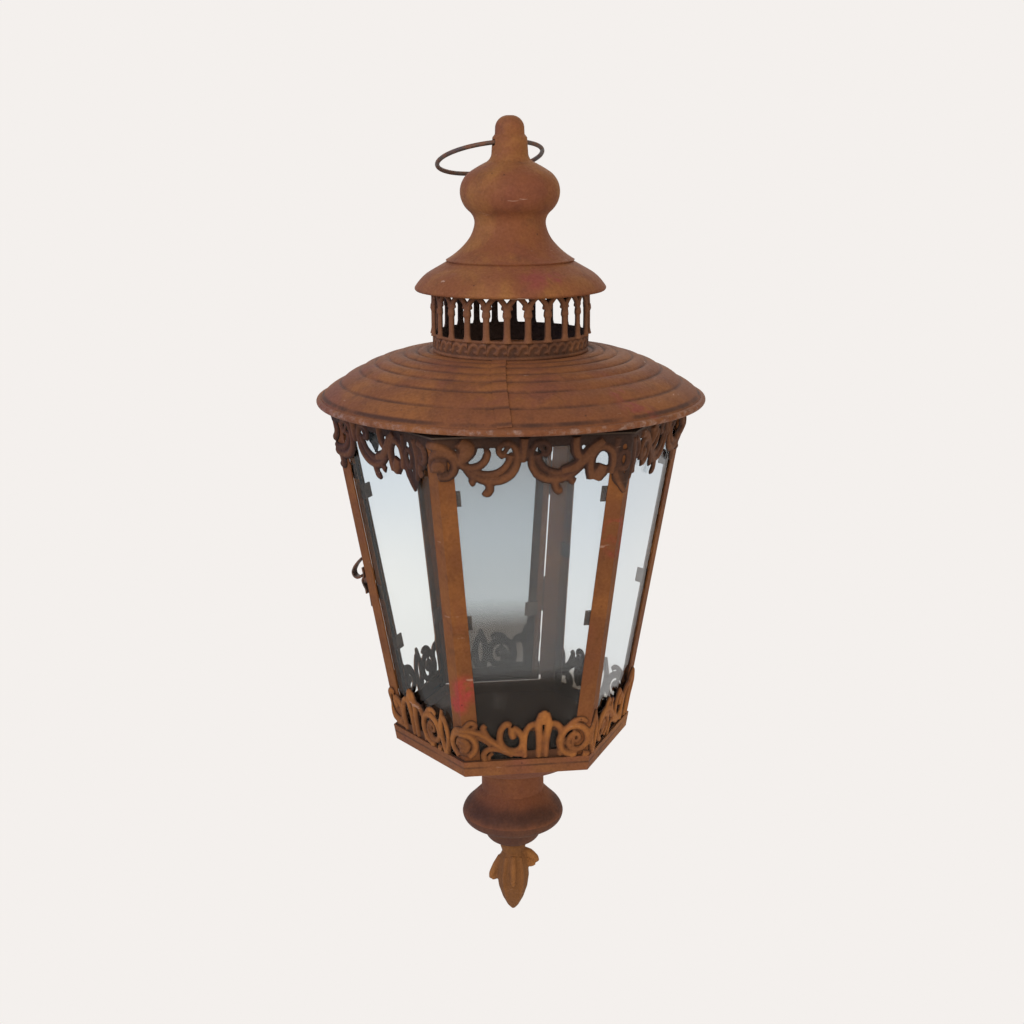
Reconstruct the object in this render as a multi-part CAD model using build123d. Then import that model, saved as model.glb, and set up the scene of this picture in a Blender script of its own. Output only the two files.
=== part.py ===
from build123d import *
import os
from math import atan, cos, hypot, pi, radians, sin

# Hexagonal hanging lantern of rusted sheet iron, in millimetres.
# The origin is the middle of the floor's upper face, +Z is up, the front side faces -Y.

# Sheet, glass and clearances
SHEET = 1.0
GLASS = 2.0
ORNAMENT = 1.2
FIT = 0.15
PIN_CLEARANCE = 0.05
LOOSE = 0.3

# Leaning hexagonal cage
BASE_R = 79.3
TOP_R = 119.3
CEILING_Z = 230.0
FLANGE = 10.0
PANE_INSET = 5.0
PANE_FOOT = 0.7

# Door of two sides, hung on the back right post and closed on the left post
DOOR_GAP = 2.5
STILE = 10.5
RAIL = 10.0
DOOR_FOOT_Z = 9.5
DOOR_HEAD_GAP = 2.0

# Floor pan, with a pressed-up round panel whose top is the candle's place
PAN_TOP_Z = 7.5
PAN_LIP = 1.5
PANEL_R = 46.0
PANEL_RISE = 0.6

# Soffit, pendant and finial
SOFFIT_R = 66.0
SOFFIT_FLANGE = 6.0
SOFFIT_MID = (42.0, -20.2)
NECK_R = 21.9
NECK_Z = -28.5
NECK_LENGTH = 16.0
PENDANT_R = 35.7
PENDANT_MID_Z = -62.0
PENDANT_CAP_MID = (32.0, -55.0)
PENDANT_BOWL_MID = (31.5, -69.3)
PENDANT_STEP = (22.0, -74.2)
PENDANT_CUP = (19.0, -80.0)
PENDANT_FOOT_R = 12.5
PENDANT_FOOT_Z = -85.0
PENDANT_SHEET = 1.2
FINIAL_COLLAR_R = 9.3
FINIAL_R = 11.6
FINIAL_TIP_Z = -141.0
LEAF_THICK = 5.0
STUD_R = 3.0
STUD_END_Z = -76.5
NUT_FLATS = 10.0
NUT_HEIGHT = 5.0

# Roof and rim
CEILING_OVERHANG = 3.2
CEILING_HOLE_R = 48.0
ROOF_RISE = 36.8
ROOF_TOP_Z = CEILING_Z + ROOF_RISE
ROOF_HOLE_R = 49.0
ROOF_RIBS = (54.0, 61.5, 70.0, 80.0, 89.0, 99.0, 112.0, 125.0)
ROOF_FALL = 28.4
ROOF_BULGE = 6.8
RIB_RISE = 1.4
BEAD_R = 2.2
BEAD_OUTSET = 0.9

# Scroll strips: their pattern is drawn for these cage radii and moves on at each corner
FRIEZE_FOR_R = 119.3
FRIEZE_REPEAT = 141.5
FRIEZE_SHIFT = 25.5
FRIEZE_DEPTH = 45.0
CREST_FOR_R = 79.3
CREST_REPEAT = 107.8
CREST_SHIFT = 25.0
CREST_HEIGHT = 60.0
HEM = 2.5
HEM_LENGTH = 18.0

# Vent gallery
GALLERY_R = 51.7
GALLERY_HEIGHT = 48.2
GALLERY_TOP_Z = ROOF_TOP_Z + GALLERY_HEIGHT
GALLERY_TUCK = 2.3
GALLERY_BAYS = 24
GALLERY_PHASE = 80.0
BAND_HEIGHT = 12.2
ARCH_HALF = 4.4
ARCH_FOOT = 3.0
ARCH_SPRING = 28.5
ARCH_RISE = 8.5
SPANDREL_FOOT = 33.6
SPANDREL_TOP = 40.5
SPANDREL_HALF = 3.6

# Crown and ring, with the outlines as radius and height over the gallery
SKIRT_OUTLINE = ((37.5, 11.9), (52.0, 3.7), (58.2, -1.2), (62.0, -6.0), (61.2, -8.6))
CROWN_TOP_Z = GALLERY_TOP_Z + 101.0
CAP_R = 9.3
CAP_Z = CROWN_TOP_Z - 7.0
CAP_FOOT_Z = CROWN_TOP_Z - 11.5
CAP_RISE = 2.0
NECK_TOP_R = 11.1
NECK_TOP_Z = CROWN_TOP_Z - 13.6
NECK_FOOT_R = 11.75
NECK_FOOT_Z = CROWN_TOP_Z - 23.0
BULB_R = 32.07
BULB_OUTLINE = (
    (15.4, 72.2), (25.3, 66.6), (BULB_R, 52.0), (26.3, 41.4), (23.2, 32.7), (28.2, 22.2), (41.8, 10.9)
)
RING_R = 34.8
RING_WIRE_R = 1.45
RING_HOLE_R = 2.2
RING_HOLE_Z = CROWN_TOP_Z - 16.6
RING_HOLE_SPAN = 11.2
RING_AZIMUTH = 17.4
RING_LEAN = 17.9

# Hinge and latch
PIN_R = 1.2
KNUCKLE_R = 2.2
KNUCKLE = 8.0
LEAF = 0.8
LEAF_WIDTH = 9.0
HINGE_Z = (72.0, 158.0)
LATCH_Z = 112.0
LATCH_POST_U = 5.0
LATCH_STUD_U = 18.0
RIVET_R = 1.5
HOOK_THICK = 1.4
HOOK_WIDTH = 6.0
STRAP_WIDTH = 7.0
STRAP_FOOT = 18.0
STRAP_HEAD = 6.0
GRIP_LENGTH = 4.0

# Glass tabs
TAB_HEIGHT = 10.0
TAB_REACH = 3.0
TAB_Z = (106.0, 190.0)
DOOR_TAB_Z = (62.0, 171.0)

CORNERS = ("front_left", "front_right", "right", "back_right", "back_left", "left")
FACETS = ("front", "front_right", "back_right", "back", "back_left", "front_left")
DOOR_FACETS = (3, 4)
DOOR_CORNER = 4

# Slopes that follow from the cage
LEAN = (TOP_R - BASE_R) / CEILING_Z
TILT = atan(LEAN * cos(pi / 6))
GAIN = LEAN / 2 * cos(TILT)
DOOR_HEAD_Z = CEILING_Z - DOOR_HEAD_GAP
BEAD_CENTRE_R = ROOF_RIBS[-1] + BEAD_OUTSET
COLLAR_R = ROOF_RIBS[-3]
FLOOR_Z = -PANEL_RISE


def cage_r(z):
    """Circumradius of the cage's outside at height z."""
    return BASE_R + LEAN * z


def slope(z, inset=0.0):
    """Distance up a leaning side for height z at a depth behind its outside."""
    return (z - inset * sin(TILT)) / cos(TILT)


def half_width(s):
    """Half the width of a side at a distance s up its slope."""
    return BASE_R / 2 + GAIN * s


def side_plane(n, offset=0.0):
    """Plane of side n: x to the right seen from outside, y up the slope."""
    a = radians(-90 + 60 * n)
    normal = Vector(cos(a) * cos(TILT), sin(a) * cos(TILT), -sin(TILT))
    foot = Vector(cos(a), sin(a), 0) * (BASE_R * cos(pi / 6))
    return Plane(origin=foot + normal * offset, x_dir=(-sin(a), cos(a), 0), z_dir=normal)


def plate(n, sketch, back, thickness):
    """Plate of a sketch on side n, from a depth and outward by a thickness."""
    return extrude(side_plane(n, back) * sketch, amount=thickness, dir=side_plane(n).z_dir)


def strip(side, u0, u1, s0, s1):
    """Strip along one edge of a side, from u0 to u1 in from the corner line."""
    points = [
        (side * (half_width(s0) - u0), s0),
        (side * (half_width(s0) - u1), s0),
        (side * (half_width(s1) - u1), s1),
        (side * (half_width(s1) - u0), s1),
    ]
    return make_face(Polyline(*points, close=True))


def panel(left, right, s0, s1):
    """Trapezoid between the two edges of a side, inset from each corner line."""
    points = [
        (left - half_width(s0), s0),
        (half_width(s0) - right, s0),
        (half_width(s1) - right, s1),
        (left - half_width(s1), s1),
    ]
    return make_face(Polyline(*points, close=True))


def hexagon(z, offset):
    """Horizontal hexagon of the cage at height z, moved out by an offset."""
    radius = cage_r(z) + offset / cos(TILT) / cos(pi / 6)
    return Pos(0, 0, z) * RegularPolygon(radius, 6)


def leaning_prism(z0, z1, offset):
    """Six-sided leaning block between two heights."""
    return loft([hexagon(z0, offset), hexagon(z1, offset)])


def turned(section):
    """Turned body of a section drawn with x as radius and y as height."""
    return revolve(Plane.XZ * section, Axis.Z)


def flowing(start, *points):
    """Arcs that run smoothly through points, from a direction or from a straight first piece."""
    pieces = []
    for here, there in zip(points, points[1:]):
        pieces.append(TangentArc(here, there, tangent=start) if start else Line(here, there))
        start = pieces[-1] % 1
    return pieces


def spun_sheet(thickness, start, *points):
    """Section of spun sheet to the right of a smooth outside line."""

    def behind(piece, t):
        at, along = piece @ t, piece % t
        return (at.X + along.Y * thickness, at.Y - along.X * thickness)

    outside = flowing(start, *points)
    inside = []
    for piece in outside:
        head, foot = behind(piece, 0), behind(piece, 1)
        straight = piece.geom_type == GeomType.LINE
        inside.append(Line(head, foot) if straight else ThreePointArc(head, behind(piece, 0.5), foot))
    ends = [Line(outside[0] @ 0, inside[0] @ 0), Line(outside[-1] @ 1, inside[-1] @ 1)]
    return make_face(outside + inside + ends)


def stroke(width, *points):
    """Round-ended stroke of even width along arcs that run smoothly into each other."""
    first = ThreePointArc(*points[:3])
    arcs = [first] + flowing(first % 1, *points[2:])
    return SlotArc(Wire([arc.edge() for arc in arcs]), width)


def bar(width, start, end):
    """Round-ended straight stroke."""
    return SlotArc(Line(start, end), width)


def disc(radius, x, y):
    """Disc at a place in a sketch."""
    return Pos(x, y) * Circle(radius)


def block(x0, x1, y0, y1):
    """Rectangle between two corners."""
    return Pos((x0 + x1) / 2, (y0 + y1) / 2) * Rectangle(x1 - x0, y1 - y0)


def corner_post(n, z0, z1):
    """Folded angle that leans along corner n."""
    wall = SHEET / cos(TILT)
    r = cage_r(z0)
    ex, ey = cos(2 * pi / 3), sin(2 * pi / 3)
    tip = (r + FLANGE * ex, FLANGE * ey)
    tip_in = (tip[0] - wall * cos(pi / 6), tip[1] - wall * sin(pi / 6))
    fold_in = (r - wall / cos(pi / 6), 0)
    points = [
        (r, 0),
        tip,
        tip_in,
        fold_in,
        (tip_in[0], -tip_in[1]),
        (tip[0], -tip[1]),
    ]
    section = Pos(0, 0, z0) * make_face(Polyline(*points, close=True))
    length = (z1 - z0) * hypot(1, LEAN)
    return Rot(0, 0, -120 + 60 * n) * extrude(section, amount=length, dir=(LEAN, 0, 1))


def pane(n, left, right, z0, z1):
    """Pane of glass behind the flanges of side n."""
    depth = SHEET + GLASS
    sketch = panel(left, right, slope(z0, SHEET), slope(z1, depth))
    return plate(n, sketch, -depth, GLASS)


def tab(n, side, inset, reach, z):
    """Bent tab from a flange round the edge of a pane and over its inside."""
    s0, s1 = slope(z - TAB_HEIGHT / 2), slope(z + TAB_HEIGHT / 2)
    root = inset - SHEET - LOOSE
    leg = plate(n, strip(side, root, root + SHEET, s0, s1), -SHEET - GLASS, GLASS)
    finger = plate(n, strip(side, root, reach, s0, s1), -2 * SHEET - GLASS, SHEET)
    return leg + finger


def frieze_sketch():
    """Scrolls that hang from the ceiling plate: y is measured down from its underside."""
    scroll = ((-34, -22.5), (-24, -25.8), (-15, -22.5), (-11.2, -14), (-13.5, -5.5))
    middle = -4.6
    mirrored = [(2 * middle - x, y) for x, y in scroll]
    solid = [
        block(-65, 78, -2, 0),
        disc(9, -54, -17),
        block(-62, -50, -17, 0),
        stroke(5, (-56, -5), (-48.5, -10), (-44, -16), (-39, -21)),
        disc(5.6, -40, -6.5),
        bar(4, (-40, -8), (-43.5, -13)),
        stroke(4.2, (-43, -17), (-37, -19.5), (-31, -18.5), (-27.6, -14), (-27.5, -10)),
        stroke(4.2, (-40, -20), (-37, -24), (-37, -28.6)),
        disc(2.3, -38, -28.7),
        stroke(8, *scroll),
        stroke(8, *mirrored),
        disc(7, -16, -8),
        disc(7, 2 * middle + 16, -8),
        block(-8, -1, -16, -6),
        stroke(5, (-29, -27), (-27.3, -31), (-27.8, -34)),
        disc(3.2, -28, -34.3),
        disc(2, -30.6, -34),
        stroke(5, (13, -27), (14.6, -31.5), (17.2, -35)),
        disc(3, 17, -35),
        stroke(4.5, (21, -23.5), (25, -26.5), (25.8, -29.5)),
        disc(2.2, 26.2, -30),
        stroke(7, (22, -20), (29, -17.5), (33, -12), (40, -4.8)),
        stroke(5, (25.5, -1), (26, -9), (27, -16)),
        stroke(5.5, (46, -10.5), (40, -8.8), (35.8, -14), (35.8, -22), (39, -28)),
        disc(3.2, 39.4, -28),
        disc(4.9, 43.6, -20),
        stroke(5, (46, -10.5), (49, -15), (47.5, -23)),
        block(48, 62, -26, 0),
        stroke(8, (54, -22), (55, -27), (57, -32)),
        block(61, 78, -23, 0),
    ]
    pierced = [
        disc(1.8, -7, -3.8),
        disc(1.2, 27.2, -14.2),
        disc(1.4, 48, -3.6),
        Pos(54.6, -18) * Ellipse(1.3, 3.8),
        Pos(73.5, -14) * Ellipse(1.1, 4.5),
    ]
    return solid[0] + solid[1:] - pierced


def crest_sketch():
    """Scrolls that stand on the pan: y is measured up from the floor."""
    solid = [
        block(-54, 56, FLOOR_Z, 8.5),
        disc(11, -42.5, 19),
        stroke(6, (-41, 28), (-33, 27.5), (-26, 23.5), (-19, 18), (-10, 12.5), (-4, 12)),
        stroke(4.6, (-24.5, 24), (-27, 29), (-28.3, 33)),
        disc(1.8, -26.5, 33.5),
        stroke(5.5, (-27, 8), (-27, 13), (-22, 15.8), (-15, 13.5), (-9, 10.5)),
        stroke(4, (-17, 21), (-16.5, 28), (-13, 33)),
        disc(3.2, -12.6, 33),
        stroke(5, (-17, 21), (-13.5, 14.5), (-7, 12.8), (-4, 17.5), (-4.8, 24), (-7, 29)),
        stroke(6, (-10.5, 31), (-9.5, 26), (-8.5, 22.5)),
        block(-3, 24, 8, 28),
        stroke(5, (-0.5, 25), (0.5, 30.5), (5, 32)),
        stroke(5, (16, 32), (20.5, 30.5), (22, 25)),
        Pos(10.7, 35.5) * Ellipse(5, 9.2),
        block(6, 15.4, 8, 36),
        disc(9.6, 31.3, 22.5),
        bar(6, (31, 14), (32, 8)),
        stroke(8, (47, 8), (47.5, 22), (46, 33)),
        disc(3, 46, 37),
    ]
    pierced = [
        Pos(3.2, 21.5) * Ellipse(2.8, 5.8),
        Pos(18.4, 21.5) * Ellipse(2.8, 5.8),
        make_face(Polyline((-5, 9), (0, 9), (-2.5, 11.4), close=True)),
        make_face(Polyline((20.6, 9), (27.4, 9), (24, 12), close=True)),
        Pos(46.5, 29) * Ellipse(1.2, 3),
    ]
    return solid[0] + solid[1:] - pierced


def scroll_strip(sketch, n, repeat, shift, drawn_for, radius):
    """Length of a repeating strip that covers side n, at the size of the cage."""
    along = shift * (n if n < 4 else n - 6)
    copies = [Pos(along + i * repeat, 0) * sketch for i in (-1, 0, 1)]
    return scale(copies[0] + copies[1:], by=radius / drawn_for)


def cut_strip(strip_here, left, right, low, high, hem_low, hem_high):
    """What hangs together of a strip between the edges of a side, with a hem along its bends."""
    clip = panel(left, right, low, high)
    held = strip_here + panel(left, right, hem_low, hem_high)
    foot, head = max(low, hem_low - HEM_LENGTH), min(high, hem_high + HEM_LENGTH)
    for side, inset in ((-1, left), (1, right)):
        held += strip(side, inset, inset + HEM, foot, head)
    return max((held & clip).faces(), key=lambda face: face.area)


def frieze(n, left, right, z_top):
    """Pierced frieze of side n under a given height."""
    top = slope(CEILING_Z)
    head = slope(z_top)
    drawn = scroll_strip(frieze_sketch(), n, FRIEZE_REPEAT, FRIEZE_SHIFT, FRIEZE_FOR_R, TOP_R)
    cut = cut_strip(Pos(0, top) * drawn, left, right, top - FRIEZE_DEPTH, head, head - HEM, head)
    return plate(n, cut, 0, ORNAMENT)


def crest(n, left, right, z_foot):
    """Pierced crest of side n above a given height."""
    foot = slope(z_foot, -ORNAMENT)
    drawn = scroll_strip(crest_sketch(), n, CREST_REPEAT, CREST_SHIFT, CREST_FOR_R, BASE_R)
    cut = cut_strip(drawn, left, right, foot, foot + CREST_HEIGHT, foot, foot + HEM)
    return plate(n, cut, 0, ORNAMENT)


def floor_pan():
    """Tray with an upstand outside the crests, a short lip under it and a raised panel."""
    under = FLOOR_Z - SHEET
    tray = leaning_prism(under - PAN_LIP, PAN_TOP_Z, ORNAMENT + SHEET)
    tray -= leaning_prism(FLOOR_Z, PAN_TOP_Z + SHEET, ORNAMENT)
    tray -= leaning_prism(under - 2 * PAN_LIP, under, ORNAMENT)
    tray += turned(block(0, PANEL_R, FLOOR_Z, 0))
    return tray - turned(block(0, PANEL_R - SHEET, under, -SHEET))


def soffit_bowl():
    """Bowl between the pan's underside and the pendant's neck."""
    rim_z = FLOOR_Z - SHEET
    bowl = spun_sheet(-SHEET, (0.95, 0.31), (NECK_R, NECK_Z), SOFFIT_MID, (SOFFIT_R, rim_z - SHEET))
    flange = block(SOFFIT_R - SOFFIT_FLANGE, SOFFIT_R, rim_z - SHEET, rim_z)
    foot = block(NECK_R - SOFFIT_FLANGE, NECK_R + SHEET / 2, NECK_Z, NECK_Z + SHEET)
    return turned(bowl + flange + foot)


def pendant_cap():
    """Upper shell of the pendant, hung from the soffit by its straight neck."""
    head_z = NECK_Z - PENDANT_SHEET
    root = (NECK_R, NECK_Z - NECK_LENGTH)
    wall = spun_sheet(PENDANT_SHEET, (0.66, -0.75), root, PENDANT_CAP_MID, (PENDANT_R, PENDANT_MID_Z))
    neck = block(NECK_R - PENDANT_SHEET, NECK_R, root[1] - PENDANT_SHEET, NECK_Z)
    head = block(NECK_R - SOFFIT_FLANGE, NECK_R, head_z, NECK_Z)
    return turned((wall + neck + head) & block(0, PENDANT_R + SHEET, PENDANT_MID_Z, NECK_Z))


def pendant_bowl():
    """Lower shell of the pendant with a cup at its foot."""
    wall = spun_sheet(PENDANT_SHEET, (0, -1), (PENDANT_R, PENDANT_MID_Z), PENDANT_BOWL_MID, PENDANT_STEP)
    root = (PENDANT_STEP[0] + PENDANT_SHEET / 4, PENDANT_STEP[1] + PENDANT_SHEET / 2)
    cup = spun_sheet(PENDANT_SHEET, None, root, PENDANT_CUP, (PENDANT_FOOT_R, PENDANT_FOOT_Z))
    foot = block(STUD_R + LOOSE, PENDANT_FOOT_R, PENDANT_FOOT_Z, PENDANT_FOOT_Z + PENDANT_SHEET)
    return turned(wall + cup + foot)


def finial_leaf(tip_r, tip_z, azimuth):
    """Curled leaf that stands out from the finial's bud."""
    root = (6.0, tip_z + 7)
    tip = (tip_r, tip_z)
    back = (8.0, tip_z - 9)
    upper = ThreePointArc(root, ((root[0] + tip_r) / 2, tip_z + 2.0), tip)
    lower = ThreePointArc(tip, ((back[0] + tip_r) / 2 + 0.6, tip_z - 3.5), back)
    leaf = Plane.XZ * make_face([upper, lower, Line(back, root)])
    return Rot(0, 0, azimuth) * extrude(leaf, amount=LEAF_THICK / 2, both=True)


def finial():
    """Cast bud with leaves, a collar and a stud."""
    collar_z = PENDANT_FOOT_Z - 5
    shoulder = (FINIAL_COLLAR_R - 1, collar_z - 2)
    belly = (FINIAL_R, (collar_z + FINIAL_TIP_Z) / 2 + 4)
    tip = (0, FINIAL_TIP_Z)
    waist = (FINIAL_R * 0.48, FINIAL_TIP_Z + 6.5)
    bud = Spline(shoulder, belly, waist, tip, tangents=((0.34, -0.94), (-0.7, -0.71)))
    axis = Polyline(tip, (0, collar_z - 2), shoulder)
    section = make_face([bud, axis])
    section += block(0, FINIAL_COLLAR_R, collar_z, PENDANT_FOOT_Z)
    section += block(0, FINIAL_COLLAR_R - 1, collar_z - 2, collar_z)
    section += block(0, STUD_R, PENDANT_FOOT_Z, STUD_END_Z)
    body = turned(section)
    leaves = ((19.0, -102.0, -7.5), (17.5, -116.0, 172.5), (15.5, -109.0, -97.5), (15.5, -109.0, 82.5))
    for tip_r, tip_z, azimuth in leaves:
        body += finial_leaf(tip_r, tip_z, azimuth)
    return body


def finial_nut():
    """Hexagonal nut on the finial's stud."""
    blank = RegularPolygon(NUT_FLATS / 2, 6, major_radius=False) - Circle(STUD_R + PIN_CLEARANCE)
    return Pos(0, 0, PENDANT_FOOT_Z + PENDANT_SHEET) * extrude(blank, amount=NUT_HEIGHT)


def roof_z(r):
    """Height of the roof's grooves at a radius."""
    t = (r - ROOF_RIBS[0]) / (ROOF_RIBS[-1] - ROOF_RIBS[0])
    return ROOF_TOP_Z - ROOF_FALL * t + 4 * ROOF_BULGE * t * (1 - t)


def roof():
    """Ribbed shallow roof with its edge rolled round a wire."""
    upper = [Line((ROOF_HOLE_R, ROOF_TOP_Z), (ROOF_RIBS[0], ROOF_TOP_Z))]
    for r0, r1 in zip(ROOF_RIBS, ROOF_RIBS[1:]):
        crest_z = (roof_z(r0) + roof_z(r1)) / 2 + RIB_RISE
        upper.append(ThreePointArc((r0, roof_z(r0)), ((r0 + r1) / 2, crest_z), (r1, roof_z(r1))))
    lower = [Pos(0, -SHEET) * line for line in upper]
    inner_end = Line((ROOF_HOLE_R, ROOF_TOP_Z), (ROOF_HOLE_R, ROOF_TOP_Z - SHEET))
    outer_end = Line(upper[-1] @ 1, lower[-1] @ 1)
    section = make_face(upper + lower + [inner_end, outer_end])
    curl = Circle(BEAD_R) - Circle(BEAD_R - SHEET)
    return turned(section + Pos(BEAD_CENTRE_R, roof_z(ROOF_RIBS[-1]) - BEAD_R) * curl)


def rim_wire():
    """Wire inside the rolled edge of the roof."""
    z = roof_z(ROOF_RIBS[-1]) - BEAD_R
    return Pos(0, 0, z) * Torus(BEAD_CENTRE_R, BEAD_R - SHEET - LOOSE)


def roof_collar():
    """Ring that carries the roof on the ceiling plate."""
    top = roof_z(COLLAR_R) - SHEET - FIT
    return turned(block(COLLAR_R - SHEET / 2, COLLAR_R + SHEET / 2, CEILING_Z + SHEET, top))


def ceiling_plate():
    """Six-sided plate on the posts with a round hole for the hot air."""
    blank = RegularPolygon(cage_r(CEILING_Z) + CEILING_OVERHANG / cos(pi / 6), 6)
    return Pos(0, 0, CEILING_Z) * extrude(blank - Circle(CEILING_HOLE_R), amount=SHEET)


def arch_opening():
    """Round-footed pointed opening of the gallery, on its middle line."""
    foot = BAND_HEIGHT + ARCH_FOOT
    apex = (0, ARCH_SPRING + ARCH_RISE)
    haunch = (ARCH_HALF * 0.78, ARCH_SPRING + ARCH_RISE * 0.55)
    lines = [
        ThreePointArc((-ARCH_HALF, foot), (0, BAND_HEIGHT), (ARCH_HALF, foot)),
        Line((ARCH_HALF, foot), (ARCH_HALF, ARCH_SPRING)),
        ThreePointArc((ARCH_HALF, ARCH_SPRING), haunch, apex),
        ThreePointArc(apex, (-haunch[0], haunch[1]), (-ARCH_HALF, ARCH_SPRING)),
        Line((-ARCH_HALF, ARCH_SPRING), (-ARCH_HALF, foot)),
    ]
    return make_face(lines)


def vent_gallery():
    """Pierced drum of pointed arches between the roof and the crown's skirt."""
    wall = block(GALLERY_R - SHEET, GALLERY_R, ROOF_TOP_Z, GALLERY_TOP_Z + GALLERY_TUCK)
    spandrel = Polyline(
        (0, SPANDREL_FOOT), (SPANDREL_HALF, SPANDREL_TOP), (-SPANDREL_HALF, SPANDREL_TOP), close=True
    )
    step = 360 / GALLERY_BAYS
    cutters = []
    for i in range(GALLERY_BAYS):
        for sketch, turn in ((arch_opening(), 0.5), (make_face(spandrel), 0.0)):
            a = radians(GALLERY_PHASE + (i + turn) * step)
            inside = GALLERY_R - 5 * SHEET
            at = Plane(
                origin=(inside * cos(a), inside * sin(a), ROOF_TOP_Z),
                x_dir=(-sin(a), cos(a), 0),
                z_dir=(cos(a), sin(a), 0),
            )
            cutters.append(extrude(at * sketch, amount=10 * SHEET))
    return turned(wall) - cutters


def crown_skirt():
    """Conical sheet with a rolled lip, its top tucked under the crown's flare."""
    return turned(spun_sheet(SHEET, None, *((r, GALLERY_TOP_Z + h) for r, h in SKIRT_OUTLINE)))


def crown_neck():
    """Section of the cap and of the tapered neck that carries the ring."""
    waist = (CAP_R + 0.2, CAP_FOOT_Z)
    outside = [
        ThreePointArc((0, CROWN_TOP_Z), (0.71 * CAP_R, CROWN_TOP_Z - CAP_RISE), (CAP_R, CAP_Z)),
        Polyline((CAP_R, CAP_Z), waist, (NECK_TOP_R, NECK_TOP_Z), (NECK_FOOT_R, NECK_FOOT_Z)),
    ]
    inside = [
        ThreePointArc(
            (0, CROWN_TOP_Z - SHEET), (0.63 * CAP_R, CROWN_TOP_Z - CAP_RISE - SHEET), (CAP_R - SHEET, CAP_Z)
        ),
        Polyline(
            (CAP_R - SHEET, CAP_Z),
            (waist[0] - SHEET, waist[1] - SHEET / 2),
            (NECK_TOP_R - SHEET, NECK_TOP_Z - SHEET / 2),
            (NECK_FOOT_R - SHEET, NECK_FOOT_Z),
        ),
    ]
    ends = [
        Line((0, CROWN_TOP_Z), (0, CROWN_TOP_Z - SHEET)),
        Line((NECK_FOOT_R, NECK_FOOT_Z), (NECK_FOOT_R - SHEET, NECK_FOOT_Z)),
    ]
    return make_face(outside + inside + ends)


def crown_bulb():
    """Cap, neck and bulb with a flared foot, pierced for the ring."""
    outline = [(r, GALLERY_TOP_Z + h) for r, h in BULB_OUTLINE]
    bulb = spun_sheet(SHEET, (0, -1), (NECK_FOOT_R, NECK_FOOT_Z), *outline)
    shell = turned(crown_neck() + bulb)
    hole = Pos(0, 0, RING_HOLE_Z) * Rot(90, 0, 0) * Cylinder(RING_HOLE_R, 4 * RING_HOLE_SPAN)
    return Rot(0, 0, RING_AZIMUTH - 90) * (shell - hole)


def hanging_ring():
    """Wire ring through the neck's two holes, leaning to the back as photographed."""
    a = radians(RING_AZIMUTH)
    lean = radians(RING_LEAN)
    along = Vector(cos(a), sin(a), 0)
    down = Vector(-sin(a) * cos(lean), cos(a) * cos(lean), -sin(lean))
    reach = (RING_R**2 - RING_HOLE_SPAN**2) ** 0.5
    centre = Vector(0, 0, RING_HOLE_Z) + down * reach
    at = Plane(origin=centre, x_dir=along, z_dir=along.cross(down))
    return at * Torus(RING_R, RING_WIRE_R)


def hinge_plane(z):
    """Plane across the hinge line: x away from the post, y outward, z up the line."""
    face = side_plane(3)
    up = (face.y_dir - face.x_dir * GAIN).normalized()
    u = FLANGE + DOOR_GAP / 2
    s = slope(z)
    foot = face.from_local_coords((u - half_width(s), s, 0))
    at = Vector(foot) + face.z_dir * (KNUCKLE_R + LOOSE)
    return Plane(origin=at, x_dir=face.z_dir.cross(up) * -1, z_dir=up)


def knuckle(x0, x1, low, high):
    """Hinge leaf with a rolled knuckle between two heights on the hinge line."""
    y = -KNUCKLE_R - LOOSE
    tube = Pos(0, 0, low) * extrude(Circle(KNUCKLE_R), amount=high - low)
    leaf = Pos(0, 0, low) * extrude(block(x0, x1, y, y + LEAF + LOOSE), amount=high - low)
    bore = Pos(0, 0, low) * extrude(Circle(PIN_R + PIN_CLEARANCE), amount=high - low)
    return tube + leaf - bore


def hinge_pieces():
    """Post leaves, door leaves and pins of both hinges."""
    post, door, pins = [], [], []
    half = KNUCKLE / 2
    for z in HINGE_Z:
        at = hinge_plane(z)
        sign = 1 if at.x_dir.dot(side_plane(3).x_dir) > 0 else -1
        away = sorted((0, sign * LEAF_WIDTH))
        toward = sorted((0, -sign * LEAF_WIDTH))
        post.append(at * knuckle(*toward, half + LOOSE, half + KNUCKLE))
        post.append(at * knuckle(*toward, -half - KNUCKLE, -half - LOOSE))
        door.append(at * knuckle(*away, -half, half))
        length = 3 * KNUCKLE + 2
        pins.append(at * Pos(0, 0, -length / 2) * extrude(Circle(PIN_R), amount=length))
    return Compound(post), Compound(door), Compound(pins)


def latch_plane(u):
    """Plane on the door's second side at a distance in from the left post."""
    face = side_plane(4)
    s = slope(LATCH_Z)
    foot = face.from_local_coords((half_width(s) - u, s, 0))
    return Plane(origin=foot, x_dir=face.x_dir, z_dir=face.z_dir)


def latch_plate():
    """Strap on the left post with the pivot of the hook."""
    at = latch_plane(LATCH_POST_U)
    strap = extrude(block(-STRAP_WIDTH / 2, STRAP_WIDTH / 2, -STRAP_FOOT, STRAP_HEAD), amount=LEAF)
    pivot = extrude(Circle(RIVET_R), amount=LEAF + HOOK_THICK + 2 * LOOSE)
    head = Pos(0, 0, LEAF + HOOK_THICK + 2 * LOOSE) * extrude(Circle(2 * RIVET_R), amount=LEAF)
    return at * (strap + pivot + head)


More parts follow.
